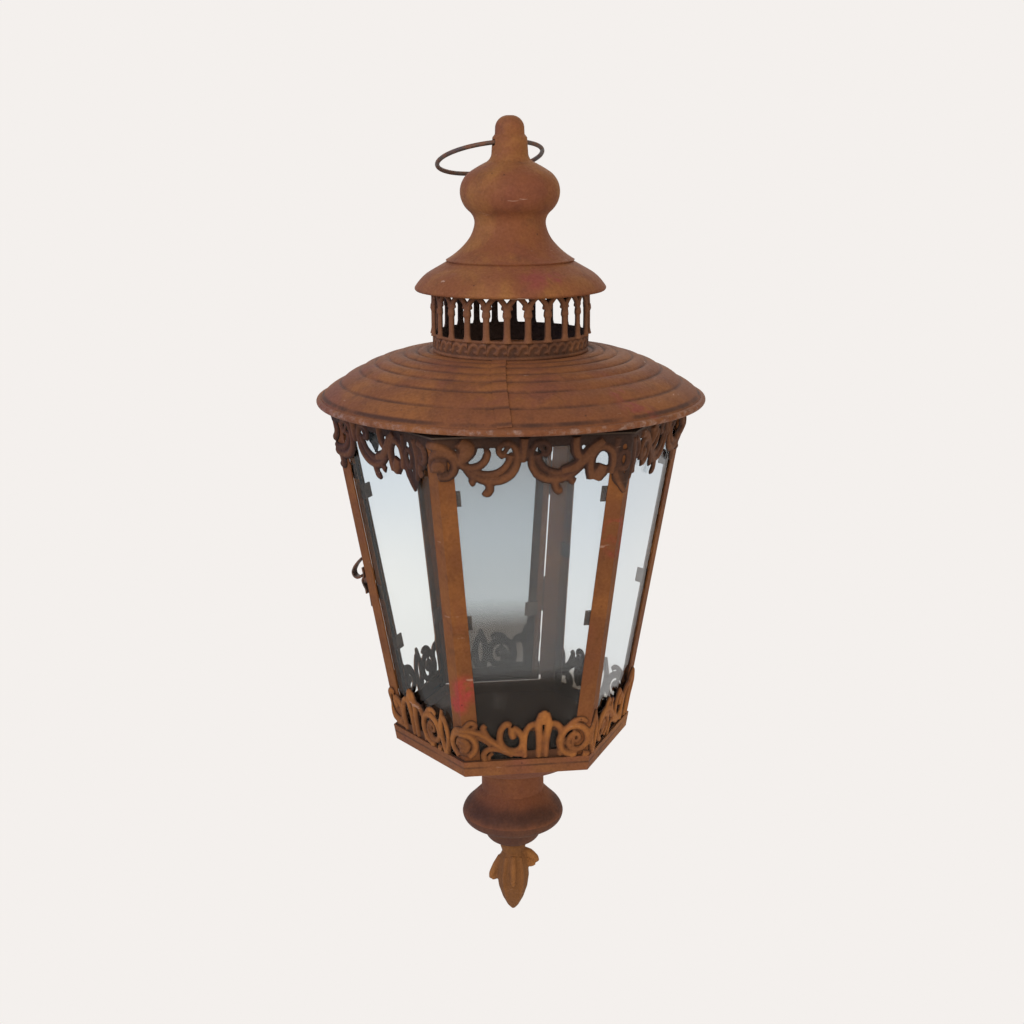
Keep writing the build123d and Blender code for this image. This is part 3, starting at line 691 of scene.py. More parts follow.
FINISHES = (
    # Warm brown with many pale rubs, and flakes of red on its flare.
    Rust(
        "rusted_sheet_crown", "774527", "8A5A2E", "472A1C", russet="74402E", patch="7E3A34",
        pale_share=0.45, paint_spots=((8.7, -50.9, 316.5, 14.0), (22.0, -47.0, 316.0, 9.0)),
    ),
    # Brown with painted shade in rings between the ribs and inside the rim, and a painted highlight on the
    # rim.
    Rust(
        "rusted_sheet_roof", "704226", "825028", "3E2519", russet="6E3E30", patch="7C3A34",
        pale_share=0.4, rim_highlight_mm=126.5,
        shaded_grooves_mm=(54.0, 61.5, 70.0, 80.0, 89.0, 99.0, 112.0, 123.4, 123.6),
        paint_spots=((60.5, -99.5, 245.0, 13.0), (51.8, -90.6, 253.0, 9.0), (72.0, -99.0, 243.0, 9.0)),
    ),
    # Ochre brown with the clearest flakes of red, black with soot and painted shade on the inside.
    Rust(
        "rusted_sheet_posts", "6A3E1C", "7C4B21", "442815", russet="6A3A22", patch="9A2F30",
        pale_share=0.3, soot_and_shade_from_mm=-0.6,
        paint_spots=(
            (53.0, -91.5, 165.0, 13.0), (55.0, -88.0, 158.0, 13.0),
            (-41.0, -78.0, 60.0, 14.0), (-46.0, -74.0, 48.0, 10.0),
        ),
    ),
    # Dark scrolls under the roof, with painted shade in their hollows, soot and painted shade on their inner
    # faces, and painted orange highlights on their ridges.
    Rust(
        "rusted_pressed_frieze", "3E2417", "684023", "20130D", russet="4A281E",
        follows_relief=True, soot_and_shade_from_mm=0.4, crust=1.0,
    ),
    # Bright orange painted highlights on the ridges over near black painted shade in the hollows, with soot
    # and painted shade on the inner faces.
    Rust(
        "rusted_pressed_crest", "70431E", "9E632B", "2E1A0E", russet="683A22",
        follows_relief=True, soot_and_shade_from_mm=0.4, crust=1.0,
    ),
    # Dusty brown arches, with painted shade on the low relief round the piercings and painted highlights on
    # the ridges.
    Rust("rusted_gallery", "553422", "7A4E30", "2A1A12", russet="533024", follows_relief=True, crust=0.9),
    # Warm brown with pale scratches, a darker line at the upstand, and soot and painted shade on the inside.
    Rust(
        "rusted_sheet_pan", "744625", "8C5A2E", "3C2414",
        pale_share=0.5, dark_bands_mm=((3.2, 1.2),), soot_and_shade_from_mm=1.6,
    ),
    # Even red-brown with a belt of painted shade on the upper slope of its bulge.
    Rust(
        "rusted_sheet_pendant", "744429", "824F2E", "3E2418", russet="683A28",
        pale_share=0.2, stain_share=0.35, dark_bands_mm=((-57.0, 9.0), (-55.0, 9.0)),
    ),
    # The same iron in a darker copy: painted shade on the pendant's lower shell.
    Rust(
        "rusted_sheet_bowl_painted_shade", "523120", "5E3A24", "2E1B14", russet="4A2D26",
        pale_share=0.3, stain_share=0.4,
    ),
    # Yellow-brown leaves with painted shade in the folds and painted highlights on the ridges.
    Rust("rusted_cast_finial", "784C24", "966331", "4A3018", russet="784A22", follows_relief=True, crust=1.0),
    # Grey-brown iron darkened by candle smoke and painted shade, for inside parts that no light or rain
    # reaches.
    Rust("rusted_sheet_inner", "42342A", "4E3E32", "261E1A", russet="3C2E26", pale_share=0.05),
    # Clear panes at the sides, a little cooler toward the top as painted reflection.
    WindowGlass(),
    # The right rear pane, a little greyer, with painted reflection toward the top and darker toward its foot.
    WindowGlass("smoky_sheet_glass", "E4EAEE", "DADFE3", "BCB7B0", (6.0, 46.0)),
    # The rear pane, grey all over, darker toward the top as painted reflection and nearly black behind the
    # crest as painted shade.
    WindowGlass("sooty_sheet_glass_painted_shade", "B2BABE", "999B9B", "4A433C", (46.0, 74.0)),
    # The front pane, clear with a thin milky film at its foot, where painted shade darkens it to grey.
    WindowGlass("hazy_sheet_glass_painted_shade", "FAFDFD", "EDF4F9", "8A857E", (60.0, 76.0), (0.06, 0.04)),
    # Dark wire with a dull sheen and a little rust.
    Wire("drawn_iron_wire"),
)


def dress(obj: Thing, name: str) -> None:
    """Give an object one finish all over, made when it is first asked for.

    Args:
        obj: mesh object.
        name: name of the finish.
    """
    wanted = next(finish for finish in FINISHES if finish.name == name)
    obj.data.materials.clear()
    obj.data.materials.append(bpy.data.materials.get(name) or wanted.make())
    LOG.info("%s wears %s on %d faces", obj.name, name, len(obj.data.polygons))


@dataclass(frozen=True)
class Stroke:
    """One scroll of pressed work: points along its middle as across, up and half width, in mm."""

    path: tuple[Point, ...]
    relief: Relief = Relief.RAISED

    def widened(self, share: float) -> "Stroke":
        """The same stroke with its half widths multiplied."""
        return Stroke(tuple((x, y, r * share) for x, y, r in self.path), self.relief)

    def mirrored(self, axis: float) -> "Stroke":
        """The same stroke on the other side of an upright axis."""
        return Stroke(tuple((2 * axis - x, y, r) for x, y, r in self.path), self.relief)


def both(axis: float, *strokes: Stroke) -> list[Stroke]:
    """Strokes together with their mirror images about an axis."""
    return [copy for stroke in strokes for copy in (stroke, stroke.mirrored(axis))]


def flanged(strokes: Sequence[Stroke], swell: float, flange: float) -> list[Stroke]:
    """Strokes made fuller, with the flat edge that pressing leaves round each raised one.

    Args:
        strokes: strokes as they were drawn.
        swell: share by which the raised ones widen.
        flange: width of the flat edge, as a share of the raised stroke.

    Returns:
        The fuller strokes, then their edges.
    """
    full = [s.widened(swell) if s.relief is Relief.RAISED else s for s in strokes]
    edges = [Stroke(s.widened(flange).path, Relief.FLAT) for s in full if s.relief is Relief.RAISED]
    return full + edges


def draw(strokes: Sequence[Stroke], voxel_mm: float, name: str) -> Thing:
    """Press strokes out of one sheet: swell them and melt them together.

    Args:
        strokes: what is drawn, in mm, on the plane of z = 0.
        voxel_mm: size of the finest form that is kept.
        name: name of the result.

    Returns:
        A closed mesh object in mm, on both sides of z = 0.
    """
    layers = []
    for relief in Relief:
        paths = [[(x, y, 0, r) for x, y, r in s.path] for s in strokes if s.relief is relief]
        if paths:
            look = {"twist_mode": "Z_UP", "resolution_u": 10, "bevel_resolution": 4}
            layer = sweep(paths, dimensions="3D", bevel_depth=1.0, **look)
            share, lift = relief.value
            reshape(layer, lambda co, k=share, up=lift: co * (1, 1, k) + (0, 0, up))
            layers.append(layer)
    sheet = join(layers, name)
    melt(sheet, voxel_mm, 2)
    return sheet


def cut(obj: Thing, point: Point, away: Point) -> None:
    """Cut a closed mesh by a plane, drop what lies on one side and close the cut.

    Args:
        obj: mesh object.
        point: a point of the plane.
        away: direction of the side that is dropped.
    """
    plane = {"plane_co": point, "plane_no": away}
    edit(obj, lambda: bpy.ops.mesh.bisect(**plane, use_fill=True, clear_outer=True, clear_inner=False))


@dataclass(frozen=True)
class Cage:
    """Leaning six-sided cage that the scroll strips are bent round, in mm."""

    base_r: float = 79.3
    top_r: float = 119.3
    ceiling_z: float = 230.0
    fold_r: float = 3.0
    proud: float = 0.08

    @property
    def lean(self) -> float:
        """Rise of the corner radius for each mm of height."""
        return (self.top_r - self.base_r) / self.ceiling_z

    @property
    def tilt(self) -> float:
        """Angle of a side from upright."""
        return math.atan(self.lean * math.cos(math.pi / 6))

    def half_width(self, z: np.ndarray | float) -> np.ndarray | float:
        """Half the width of a side at a height."""
        return (self.base_r + self.lean * z) / 2

    def frame_of(self, side: Side) -> Matrix:
        """Find the place of a side.

        Args:
            side: the side.

        Returns:
            A frame in mm at the side's foot: x to the right, y up the slope, z outward.
        """
        a = math.radians(-90 + 60 * side.value)
        level = Vector((math.cos(a), math.sin(a), 0))
        out = level * math.cos(self.tilt) - Vector((0, 0, math.sin(self.tilt)))
        right = Vector((-math.sin(a), math.cos(a), 0))
        place = Matrix((right, out.cross(right), out)).transposed().to_4x4()
        place.translation = level * (self.base_r * math.cos(math.pi / 6))
        return place

    def lay(self, side: Side, rows: np.ndarray) -> np.ndarray:
        """Lay points on a side.

        Args:
            side: the side.
            rows: across to the right, up the slope and outward, in mm.

        Returns:
            Rows of places in metres.
        """
        local = np.column_stack([rows, np.ones(len(rows))])
        return (local @ np.array(self.frame_of(side)).T)[:, :3] * MM

    def bend(self, drawn: np.ndarray, side: Side, half: float) -> np.ndarray:
        """Lay a drawn strip on a side and round its two corners.

        Args:
            drawn: rows of across, height and rise in mm.
            side: the side it lies on.
            half: half the side's width in the drawing.

        Returns:
            Rows of places in metres.
        """
        height, rise = drawn[:, 1], drawn[:, 2] + self.proud
        half_here = self.half_width(height)
        across = drawn[:, 0] * half_here / half
        arc = self.fold_r * math.pi / 6
        tangent = self.fold_r * math.tan(math.pi / 6)
        left_over = half_here - np.abs(across)
        turn = np.clip((arc - left_over) / self.fold_r, 0, math.pi / 6)
        straight = half_here - tangent - np.maximum(left_over - arc, 0)
        along = straight + (self.fold_r + rise) * np.sin(turn)
        out = rise * np.cos(turn) - self.fold_r * (1 - np.cos(turn))
        return self.lay(side, np.stack([np.sign(across) * along, height / math.cos(self.tilt), out], 1))


CAGE = Cage()


@dataclass
class ScrollStrip:
    """A pressed scroll strip that runs round the cage with a repeating pattern."""

    node: str
    finish: str
    slot: str
    strokes: list[Stroke]
    repeat: float
    half: float
    base_z: float
    door_low: float
    door_high: float
    door_trim: float
    door_lift: float = 0.0
    voxel: float = 0.5
    full_rise: float = 2.5
    swell: float = 1.12
    flange: float = 1.4

    @property
    def shift(self) -> float:
        """How far the pattern moves on from one side to the next."""
        return self.repeat - 2 * self.half

    def build(self) -> None:
        """Make the strip's six lengths, each riding on its body."""
        unit = draw(flanged(self.strokes, self.swell, self.flange), self.voxel, self.node + "_unit")
        cut(unit, (0, 0, 0), (0, 0, -1))
        for side in Side:
            self.length(unit, side)
        remove(unit)

    def length(self, unit: Thing, side: Side) -> None:
        """Make the length of the strip on one side.

        Args:
            unit: one repeat of the pattern, drawn flat.
            side: the side it lies on.
        """
        name = f"{self.node}_{side.label}"
        foot = self.base_z + (self.door_lift if side.body == "door" else 0.0)
        copies = []
        for i in (-1, 0, 1):
            copy = duplicate(unit, name + "_copy")
            along = side.steps * self.shift + i * self.repeat
            reshape(copy, lambda co, x=along: co + (x, foot, 0))
            copies.append(copy)
        piece = join(copies, "scroll_" + name)
        left = self.half - (self.door_trim if side is Side.BACK else 0.0)
        right = self.half - (self.door_trim if side is Side.BACK_LEFT else 0.0)
        cut(piece, (-left, 0, 0), (-1, 0, 0))
        cut(piece, (right, 0, 0), (1, 0, 0))
        if side.body == "door":
            cut(piece, (0, self.door_low, 0), (0, -1, 0))
            cut(piece, (0, self.door_high, 0), (0, 1, 0))
        note_relief(piece, vertices(piece)[:, 2] / self.full_rise)
        reshape(piece, lambda co: CAGE.bend(co, side, self.half))
        smooth(piece)
        dress(piece, self.finish)
        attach(piece, side.body)
        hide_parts(name)


FLAT = Relief.FLAT

FRIEZE_AXIS = -5.5
FRIEZE = [
    Stroke(((-66, -3.6, 3.8), (0, -3.6, 3.8), (78, -3.6, 3.8)), FLAT),
    Stroke(((-58, -17, 8), (-52, -17, 8)), FLAT),
    Stroke((
        (-61.1, -21.5, 2.0), (-61.6, -13.3, 2.0), (-55, -9.4, 2.1), (-48.6, -13.3, 2.2), (-47.8, -19.6, 2.2),
        (-52, -24.2, 2.1), (-57.5, -24.6, 1.9),
    )),
    Stroke(((-59, -20.5, 2.2), (-56.6, -16.6, 3.0), (-54.4, -20.5, 2.2))),
    Stroke(((-64, -4.6, 2.2), (-55, -5.8, 2.4), (-48, -10.8, 2.4), (-43.5, -16.4, 2.2), (-40, -20, 1.8))),
    Stroke(((-44, -2.5, 3.2), (-39.6, -6.3, 4.4), (-41.8, -11.8, 3.4), (-44.5, -15, 2.2))),
    Stroke((
        (-44, -15.5, 1.6), (-40.5, -18.4, 2.0), (-35, -18.8, 2.1), (-30.3, -16.2, 2.0), (-28, -12, 1.9),
        (-28.1, -9.4, 1.9), (-29.4, -9.7, 1.3),
    )),
    Stroke(((-39.5, -22, 1.8), (-37.3, -25.5, 1.8), (-37.7, -28.5, 2.0), (-39, -29.2, 1.6))),
    Stroke((
        (-29, -26.5, 2.2), (-27, -30.5, 2.2), (-26.9, -34, 2.1), (-28.8, -35.8, 1.9), (-30.8, -34.2, 1.6),
    )),
    Stroke(((14, -27.5, 2.2), (14.6, -32, 2.1), (16.6, -35.2, 2.1), (18.9, -34.2, 1.6))),
    Stroke(((23.5, -25.5, 1.9), (24.3, -28.8, 1.9), (26.4, -30, 2.0))),
    Stroke(((18, -22.5, 2.4), (26, -20, 2.8), (31.5, -15, 3.1), (36, -8.6, 3.0), (42, -3.6, 2.6))),
    Stroke(((25.5, -1, 2.6), (25.6, -7, 2.6), (27.2, -12.5, 2.6), (31, -15, 2.2))),
    Stroke((
        (37.4, -28, 2.8), (35.4, -20.5, 2.5), (36.4, -13, 2.3), (41, -8.2, 2.3), (46.5, -9.6, 2.4),
        (49.2, -16, 2.4), (48.2, -25, 2.3),
    )),
    Stroke(((39.6, -29, 2.6), (41.6, -24, 3.6), (43.4, -19.4, 3.0))),
    Stroke(((50.6, -3, 1.6), (50.2, -12, 1.5), (50.8, -23, 1.6), (54.6, -32, 1.5), (58.6, -38, 1.2))),
    Stroke((
        (55.4, -10.6, 1.5), (53, -14, 1.5), (53.2, -19, 1.5), (55.6, -22.6, 1.6), (58, -19, 1.5),
        (58, -14, 1.5), (55.6, -10.6, 1.5),
    )),
    Stroke(((62.6, -4, 1.9), (64.6, -12, 2.1), (64.4, -21, 2.0), (62.2, -30, 1.6))),
    Stroke(((51, -4, 4.6), (50.8, -16, 2.4), (53.5, -28, 4.6), (58.5, -36, 2.2)), FLAT),
    Stroke(((60, -4, 4.8), (61.8, -16, 4.4), (61, -27, 4.4), (59, -36, 2.2)), FLAT),
    Stroke((
        (67, -5, 1.8), (71.5, -7.4, 1.9), (73.6, -12, 1.9), (72, -17, 1.8), (68.6, -17.2, 1.6),
        (68, -13.6, 1.5),
    )),
    Stroke(((68, -19, 2.0), (66.8, -24, 2.0), (68.4, -27, 1.8))),
    Stroke(((66, -6, 5.5), (69.6, -13, 6.5), (67, -21, 4.6)), FLAT),
    Stroke(((-5.5, -1, 2.8), (-5.7, -8, 2.4), (-6, -13, 2.2), (-6.2, -16.4, 1.5))),
] + both(
    FRIEZE_AXIS,
    Stroke((
        (-41, -20, 1.8), (-36, -24.3, 2.0), (-30, -27.2, 2.2), (-23, -27.8, 2.3), (-16, -25.6, 2.3),
        (-11.2, -20.5, 2.1), (-9.8, -14, 1.9), (-10.6, -8, 1.8), (-13.8, -4.3, 1.7), (-17.8, -4.3, 1.6),
        (-20.6, -7.5, 1.5), (-19.6, -11.3, 1.5), (-16.6, -11.3, 1.6),
    )),
    Stroke((
        (-38, -21.3, 1.7), (-31, -23.2, 1.8), (-24.5, -23.4, 1.9), (-18.8, -20.8, 1.8), (-15, -16, 1.7),
        (-13.7, -11.5, 2.0),
    )),
    Stroke((
        (-37, -22.5, 2.6), (-30, -25.3, 3.2), (-23, -25.6, 3.4), (-16, -22.5, 3.2), (-12, -16, 3.0),
        (-12, -10, 3.0),
    ), FLAT),
    Stroke(((-17.5, -8.2, 6.4), (-15.5, -9.5, 6.4)), FLAT),
)

CREST_AXIS = 10.7
CREST = [
    Stroke(((-56, 4, 4.6), (0, 4, 4.6), (56, 4, 4.6)), FLAT),
    Stroke(((-45, 19, 8), (-40, 19, 8)), FLAT),
    Stroke((
        (-46, 11, 2.2), (-52, 17.5, 2.2), (-49, 26, 2.2), (-41.6, 28.2, 2.3), (-35.2, 24, 2.3),
        (-34.4, 16.4, 2.2), (-38.6, 11.4, 2.1),
    )),
    Stroke((
        (-47.2, 19.2, 1.6), (-44.2, 23.4, 1.7), (-39.4, 21.6, 1.7), (-39.8, 16.6, 1.6), (-43.8, 15.4, 1.5),
    )),
    Stroke(((-44.4, 19.2, 1.6), (-42.6, 19.6, 1.6))),
    Stroke((
        (-40.6, 30, 1.8), (-38.8, 34.2, 1.7), (-35.6, 36.4, 1.7), (-33.2, 34.4, 1.6), (-34.8, 32.0, 1.4),
    )),
    Stroke((
        (-52, 24, 1.8), (-47.5, 29.4, 2.1), (-41, 31, 2.2), (-34.5, 29.6, 2.2), (-28, 26, 2.2),
        (-22.5, 21.2, 2.2), (-16, 16.2, 2.2), (-9, 12.3, 2.1), (-3, 11.2, 1.9),
    )),
    Stroke(((-33, 25.6, 1.5), (-28.5, 23, 1.5), (-24, 19.3, 1.5))),
    Stroke(((-36, 27, 2.4), (-28, 23.6, 2.4), (-21, 17.5, 2.4)), FLAT),
    Stroke(((-24.5, 23, 1.8), (-27, 28.5, 1.7), (-28.4, 32.4, 1.8), (-26.5, 34, 1.7))),
    Stroke((
        (-28.4, 7.5, 1.9), (-28.9, 12.3, 1.9), (-25.6, 15.8, 1.9), (-20, 15.8, 1.9), (-14, 13.2, 1.9),
        (-9.5, 10.6, 1.7),
    )),
    Stroke(((-25.3, 7.5, 1.1), (-25, 11, 1.2), (-22.6, 13, 1.1))),
    Stroke((
        (-8, 13.8, 2.0), (-13, 15.2, 2.0), (-17, 19.8, 2.1), (-17.8, 26, 2.0), (-15.8, 31.8, 2.0),
        (-12.8, 34, 2.2), (-10.9, 32.2, 1.7),
    )),
    Stroke((
        (-8.5, 13.6, 2.0), (-4.6, 15.8, 2.0), (-3, 20.2, 2.0), (-4.2, 25.6, 2.0), (-7, 29.4, 2.1),
        (-9.6, 31, 2.1),
    )),
    Stroke(((-10.3, 31.5, 2.0), (-9.9, 27, 2.4), (-8.9, 23.3, 2.1))),
    Stroke(((-1, 11, 3.0), (22, 11, 3.0)), FLAT),
    Stroke(((10.7, 33, 2.2), (10.7, 39, 2.8), (10.7, 42.8, 1.5))),
    Stroke(((30, 20, 8.5), (32, 20, 8.5)), FLAT),
    Stroke((
        (34, 9.4, 2.3), (27.4, 10.2, 2.3), (22.8, 15.6, 2.4), (23, 23.8, 2.4), (28.4, 30, 2.4),
        (35.6, 29.2, 2.3), (40, 23, 2.2), (39, 15.8, 2.0), (33.6, 12.8, 1.9), (28.6, 15.4, 1.8),
        (28, 21, 1.7), (31.6, 24.6, 1.6), (34.8, 21.4, 1.4), (32.8, 18.2, 1.3),
    )),
    Stroke(((27.4, 31, 1.7), (30.6, 34, 1.8), (35.6, 35, 1.7), (38.6, 32.8, 1.4))),
    Stroke(((31, 10, 2.8), (32, 8, 2.8))),
    Stroke(((47, 8, 2.6), (43.6, 18, 2.1), (43.2, 27, 2.1), (45.6, 36, 1.8), (46.2, 39.5, 1.2))),
    Stroke(((48, 8, 2.6), (50.6, 18, 2.1), (50, 27, 2.1), (47, 35, 1.8))),
    Stroke(((38, 9, 2.4), (42, 8.5, 2.2))),
] + both(
    CREST_AXIS,
    Stroke((
        (-1.2, 9, 2.0), (-1.9, 17, 2.0), (-1.2, 25.5, 2.0), (1, 31, 2.1), (4.8, 32.8, 2.0), (7.2, 30.5, 1.8),
    )),
    Stroke(((8.4, 8.5, 2.0), (8.3, 22, 2.1), (7.6, 33, 2.5), (9.2, 41.2, 1.9))),
    Stroke(((2, 29.4, 2.2), (5, 29.4, 2.2)), FLAT),
)


@dataclass
class VentGallery:
    """Pierced drum of pointed arches with a running scroll at its foot, in mm."""

    bays: int = 24
    phase: float = 80.0
    inner_r: float = 49.8
    foot_z: float = 266.8
    height: float = 50.4
    voxel: float = 0.4
    full_rise: float = 1.7
    trim: float = 0.1
    overlap: float = 2.0

    # Height of the middle and half width of each band.
    MOULDINGS = ((1.1, 1.1), (11.5, 1.1))
    BACKING = (6.2, 6.4)
    HEAD = (46.0, 5.4)

    @property
    def bay(self) -> float:
        """Length of one bay round the drum's outside."""
        return 2 * math.pi * (self.inner_r + 1) / self.bays

    def band(self, size: tuple[float, float], relief: Relief = Relief.RAISED) -> Stroke:
        """A level band along the bay, from its height and half width."""
        (z, half), end = size, self.bay / 2 + self.overlap
        return Stroke(((-end, z, half), (0, z, half), (end, z, half)), relief)

    def strokes(self) -> list[Stroke]:
        """Draw one bay.

        Returns:
            Half a column at each end, an arch with cusps, and the bands.
        """
        edge = self.bay / 2
        wave = ((-edge, 3.4, 1.0), (-3.8, 8.6, 1.1), (-0.4, 8.6, 1.1), (0.5, 5.4, 1.1), (-2.0, 4.4, 0.9))
        column = ((11, 3.4), (13.2, 2.7), (15, 2.3), (26, 2.2), (27.6, 3.0), (30.4, 2.7))
        return both(
            0.0,
            Stroke(tuple((-edge, z, half) for z, half in column)),
            Stroke(((-edge, 29.5, 2.2), (-5.6, 34, 2.0), (-3, 37.6, 1.9), (0, 40.2, 1.8))),
            Stroke(((-4.6, 32.6, 1.2), (-2.9, 32.6, 1.0))),
        ) + [
            *map(self.band, self.MOULDINGS),
            Stroke(wave),
            Stroke(tuple((x + edge, y, r) for x, y, r in wave)),
            self.band(self.BACKING, Relief.SHEET),
            self.band(self.HEAD, FLAT),
        ]

    def build(self) -> None:
        """Make one bay, set it round the drum and dress it."""
        unit = draw(self.strokes(), self.voxel, "gallery_bay")
        edge = self.bay / 2
        for point, away in (
            ((0, 0, 0), (0, 0, -1)),
            ((-edge, 0, 0), (-1, 0, 0)),
            ((edge, 0, 0), (1, 0, 0)),
            ((0, self.trim, 0), (0, -1, 0)),
            ((0, self.height - self.trim, 0), (0, 1, 0)),
        ):
            cut(unit, point, away)
        copies = []
        for i in range(self.bays):
            copy = duplicate(unit, "gallery_copy")
            middle = math.radians(self.phase) + (i + 0.5) * 2 * math.pi / self.bays
            reshape(copy, lambda co, a=middle: self.wrap(co, a))
            copies.append(copy)
        flat_rise = np.tile(vertices(unit)[:, 2], self.bays)
        remove(unit)
        drum = join(copies, "pierced_gallery")
        note_relief(drum, flat_rise / self.full_rise)
        edit(drum, face_outward)
        smooth(drum)
        dress(drum, "rusted_gallery")
        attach(drum, "lantern")
        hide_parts("vent_gallery")

    def wrap(self, drawn: np.ndarray, middle: float) -> np.ndarray:
        """Bend a drawn bay round the drum.

        Args:
            drawn: rows of across, height and rise in mm.
            middle: angle of the bay's middle.

        Returns:
            Rows of places in metres.
        """
        angle = middle + drawn[:, 0] / (self.inner_r + 1)
        r = self.inner_r + drawn[:, 2]
        return np.stack([r * np.cos(angle), r * np.sin(angle), self.foot_z + drawn[:, 1]], 1) * MM


@dataclass
class LeafFinial:
    """Cast bud with curled leaves under the pendant, in mm."""

    profile: tuple[tuple[float, float], ...] = (
        (0.0, -85.1), (9.2, -85.1), (9.4, -89.0), (8.6, -91.6), (7.6, -94.6), (9.4, -98.5), (11.0, -106.0),
        (11.5, -113.5), (10.3, -122.0), (7.5, -130.5), (4.0, -137.2), (1.4, -140.3), (0.0, -141.0),
    )
    voxel: float = 0.55
    rings: int = 48
    # Relief on the bare bud, and the rise above it that would add one.
    ground: float = 0.52
    full_rise: float = 7.0

    # Each leaf has the angle it points to, and points of radius, height and half width.
    LEAVES = (
        (-7.5, ((6.5, -94.5, 3.0), (11.5, -97.2, 3.6), (16.0, -101.0, 2.8), (17.8, -103.4, 1.5))),
        (-7.5, ((9.0, -103.0, 3.2), (13.0, -105.0, 2.6), (16.0, -104.6, 1.6))),
        (172.5, ((8.0, -99.5, 3.0), (11.5, -106.5, 3.4), (15.0, -113.0, 2.5), (16.2, -116.6, 1.3))),
        (172.5, ((10.0, -110.0, 2.6), (13.0, -115.6, 2.0), (15.4, -117.0, 1.2))),
        (-97.5, ((7.5, -96.0, 2.2), (10.6, -104.0, 2.6), (11.8, -112.0, 2.2), (12.4, -117.0, 1.3))),
        (82.5, ((7.5, -96.0, 2.4), (11.0, -104.0, 3.0), (13.2, -111.0, 2.2), (14.2, -115.0, 1.3))),
    )
    RIB = ((8.4, -97.0, 1.6), (10.6, -108.0, 1.9), (10.2, -120.0, 1.7), (4.6, -134.5, 1.2))
    RIB_TURNS = (-132.0, -62.0, 38.0, 130.0)

    def build(self) -> None:
        """Turn the bud, set the leaves on it, melt them together and dress them."""
        deselect()
        bpy.ops.mesh.primitive_uv_sphere_add(segments=self.rings, ring_count=self.rings, radius=1.0)
        bud = active()
        reshape(bud, self.turned)
        finial = join([bud, self.leaves()], "leaf_finial")
        melt(finial, self.voxel, 3)
        places = vertices(finial)
        core = np.interp(-places[:, 2], [-z for _, z in self.profile], [r for r, _ in self.profile])
        rise = np.hypot(places[:, 0], places[:, 1]) - core
        note_relief(finial, self.ground + rise / self.full_rise)
        reshape(finial, lambda co: co * MM)
        smooth(finial, 60)
        dress(finial, "rusted_cast_finial")
        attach(finial, "lantern")
        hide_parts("finial")

    def turned(self, ball: np.ndarray) -> np.ndarray:
        """Move the rings of a ball onto the bud's profile.

        Args:
            ball: rows of places on a ball of radius one.

        Returns:
            Rows of places in mm.
        """
        radii, heights = zip(*self.profile)
        share = np.arccos(np.clip(ball[:, 2], -1, 1)) / math.pi
        steps = np.linspace(0, 1, len(heights))
        around = np.hypot(ball[:, 0], ball[:, 1])[:, None]
        unit = np.divide(ball[:, :2], around, out=np.zeros_like(ball[:, :2]), where=around > 1e-6)
        radius = np.interp(share, steps, radii)[:, None]
        return np.column_stack([unit * radius, np.interp(share, steps, heights)])

    def leaves(self) -> Thing:
        """Make the leaves and ribs.

        Returns:
            One mesh object of swelling tubes along the bud, in mm.
        """
        paths = []
        for azimuth, path in (*self.LEAVES, *((turn, self.RIB) for turn in self.RIB_TURNS)):
            a = math.radians(azimuth)
            paths.append([(r * math.cos(a), r * math.sin(a), z, thick) for r, z, thick in path])
        return sweep(paths, dimensions="3D", bevel_depth=1.0, resolution_u=8, bevel_resolution=4)


@dataclass
class RoofSeam:
    """Lap seam of the roof's sheet: a narrow strip that follows the ribs, in mm."""

    ribs: tuple[float, ...] = (54.0, 61.5, 70.0, 80.0, 89.0, 99.0, 112.0, 125.0)
    top_z: float = 266.8
    fall: float = 28.4
    bulge: float = 6.8
    rib_rise: float = 1.4
    inner_r: float = 53.0
    outer_r: float = 124.6
    start_deg: float = -105.0
    end_deg: float = -99.2
    width: float = 9.0
    lift: float = 0.5
    thick: float = 0.45
    # The strip comes out of the roof's face at this share of its half width before the middle.
    emerges: float = 0.6

    def crown(self, share: np.ndarray) -> np.ndarray:
        """Height of the roof without its ribs, by the share of the way out."""
        return self.top_z - self.fall * share + 4 * self.bulge * share * (1 - share)

    def height(self, r: np.ndarray) -> np.ndarray:
        """Find the roof's upper face.

        Args:
            r: radii in mm.

        Returns:
            Its heights there, in mm.
        """
        ribs = np.array(self.ribs)
        grooves = self.crown((ribs - ribs[0]) / (ribs[-1] - ribs[0]))
        i = np.clip(np.searchsorted(ribs, r) - 1, 0, len(ribs) - 2)
        local = np.clip((r - ribs[i]) / (ribs[i + 1] - ribs[i]), 0, 1)
        level = grooves[i] * (1 - local) + grooves[i + 1] * local
        return level + 4 * self.rib_rise * local * (1 - local)

    def laid(self, grid: np.ndarray) -> np.ndarray:
        """Lay a flat grid along the seam.

        Args:
            grid: rows from -1 to 1, x across the seam and y outward along it.

        Returns:
            Rows of places in metres.
        """
        side, share = grid[:, 0], (grid[:, 1] + 1) / 2
        r = self.inner_r + (self.outer_r - self.inner_r) * share
        middle = np.radians(self.start_deg + (self.end_deg - self.start_deg) * share)
        a = middle + side * self.width / 2 / r
        z = self.height(r) + self.lift * (side + self.emerges) / (1 + self.emerges)
        return np.stack([r * np.cos(a), r * np.sin(a), z], 1) * MM

    def build(self) -> None:
        """Lay a strip on the roof and give it its thickness."""
        deselect()
        bpy.ops.mesh.primitive_grid_add(x_subdivisions=4, y_subdivisions=120, size=2.0)
        strip = rename(active(), "roof_lap_seam")
        reshape(strip, self.laid)
        apply_modifier(strip, "SOLIDIFY", thickness=self.thick * MM, offset=-1.0)
        edit(strip, face_outward)
        smooth(strip)
        dress(strip, "rusted_sheet_roof")
        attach(strip, "lantern")


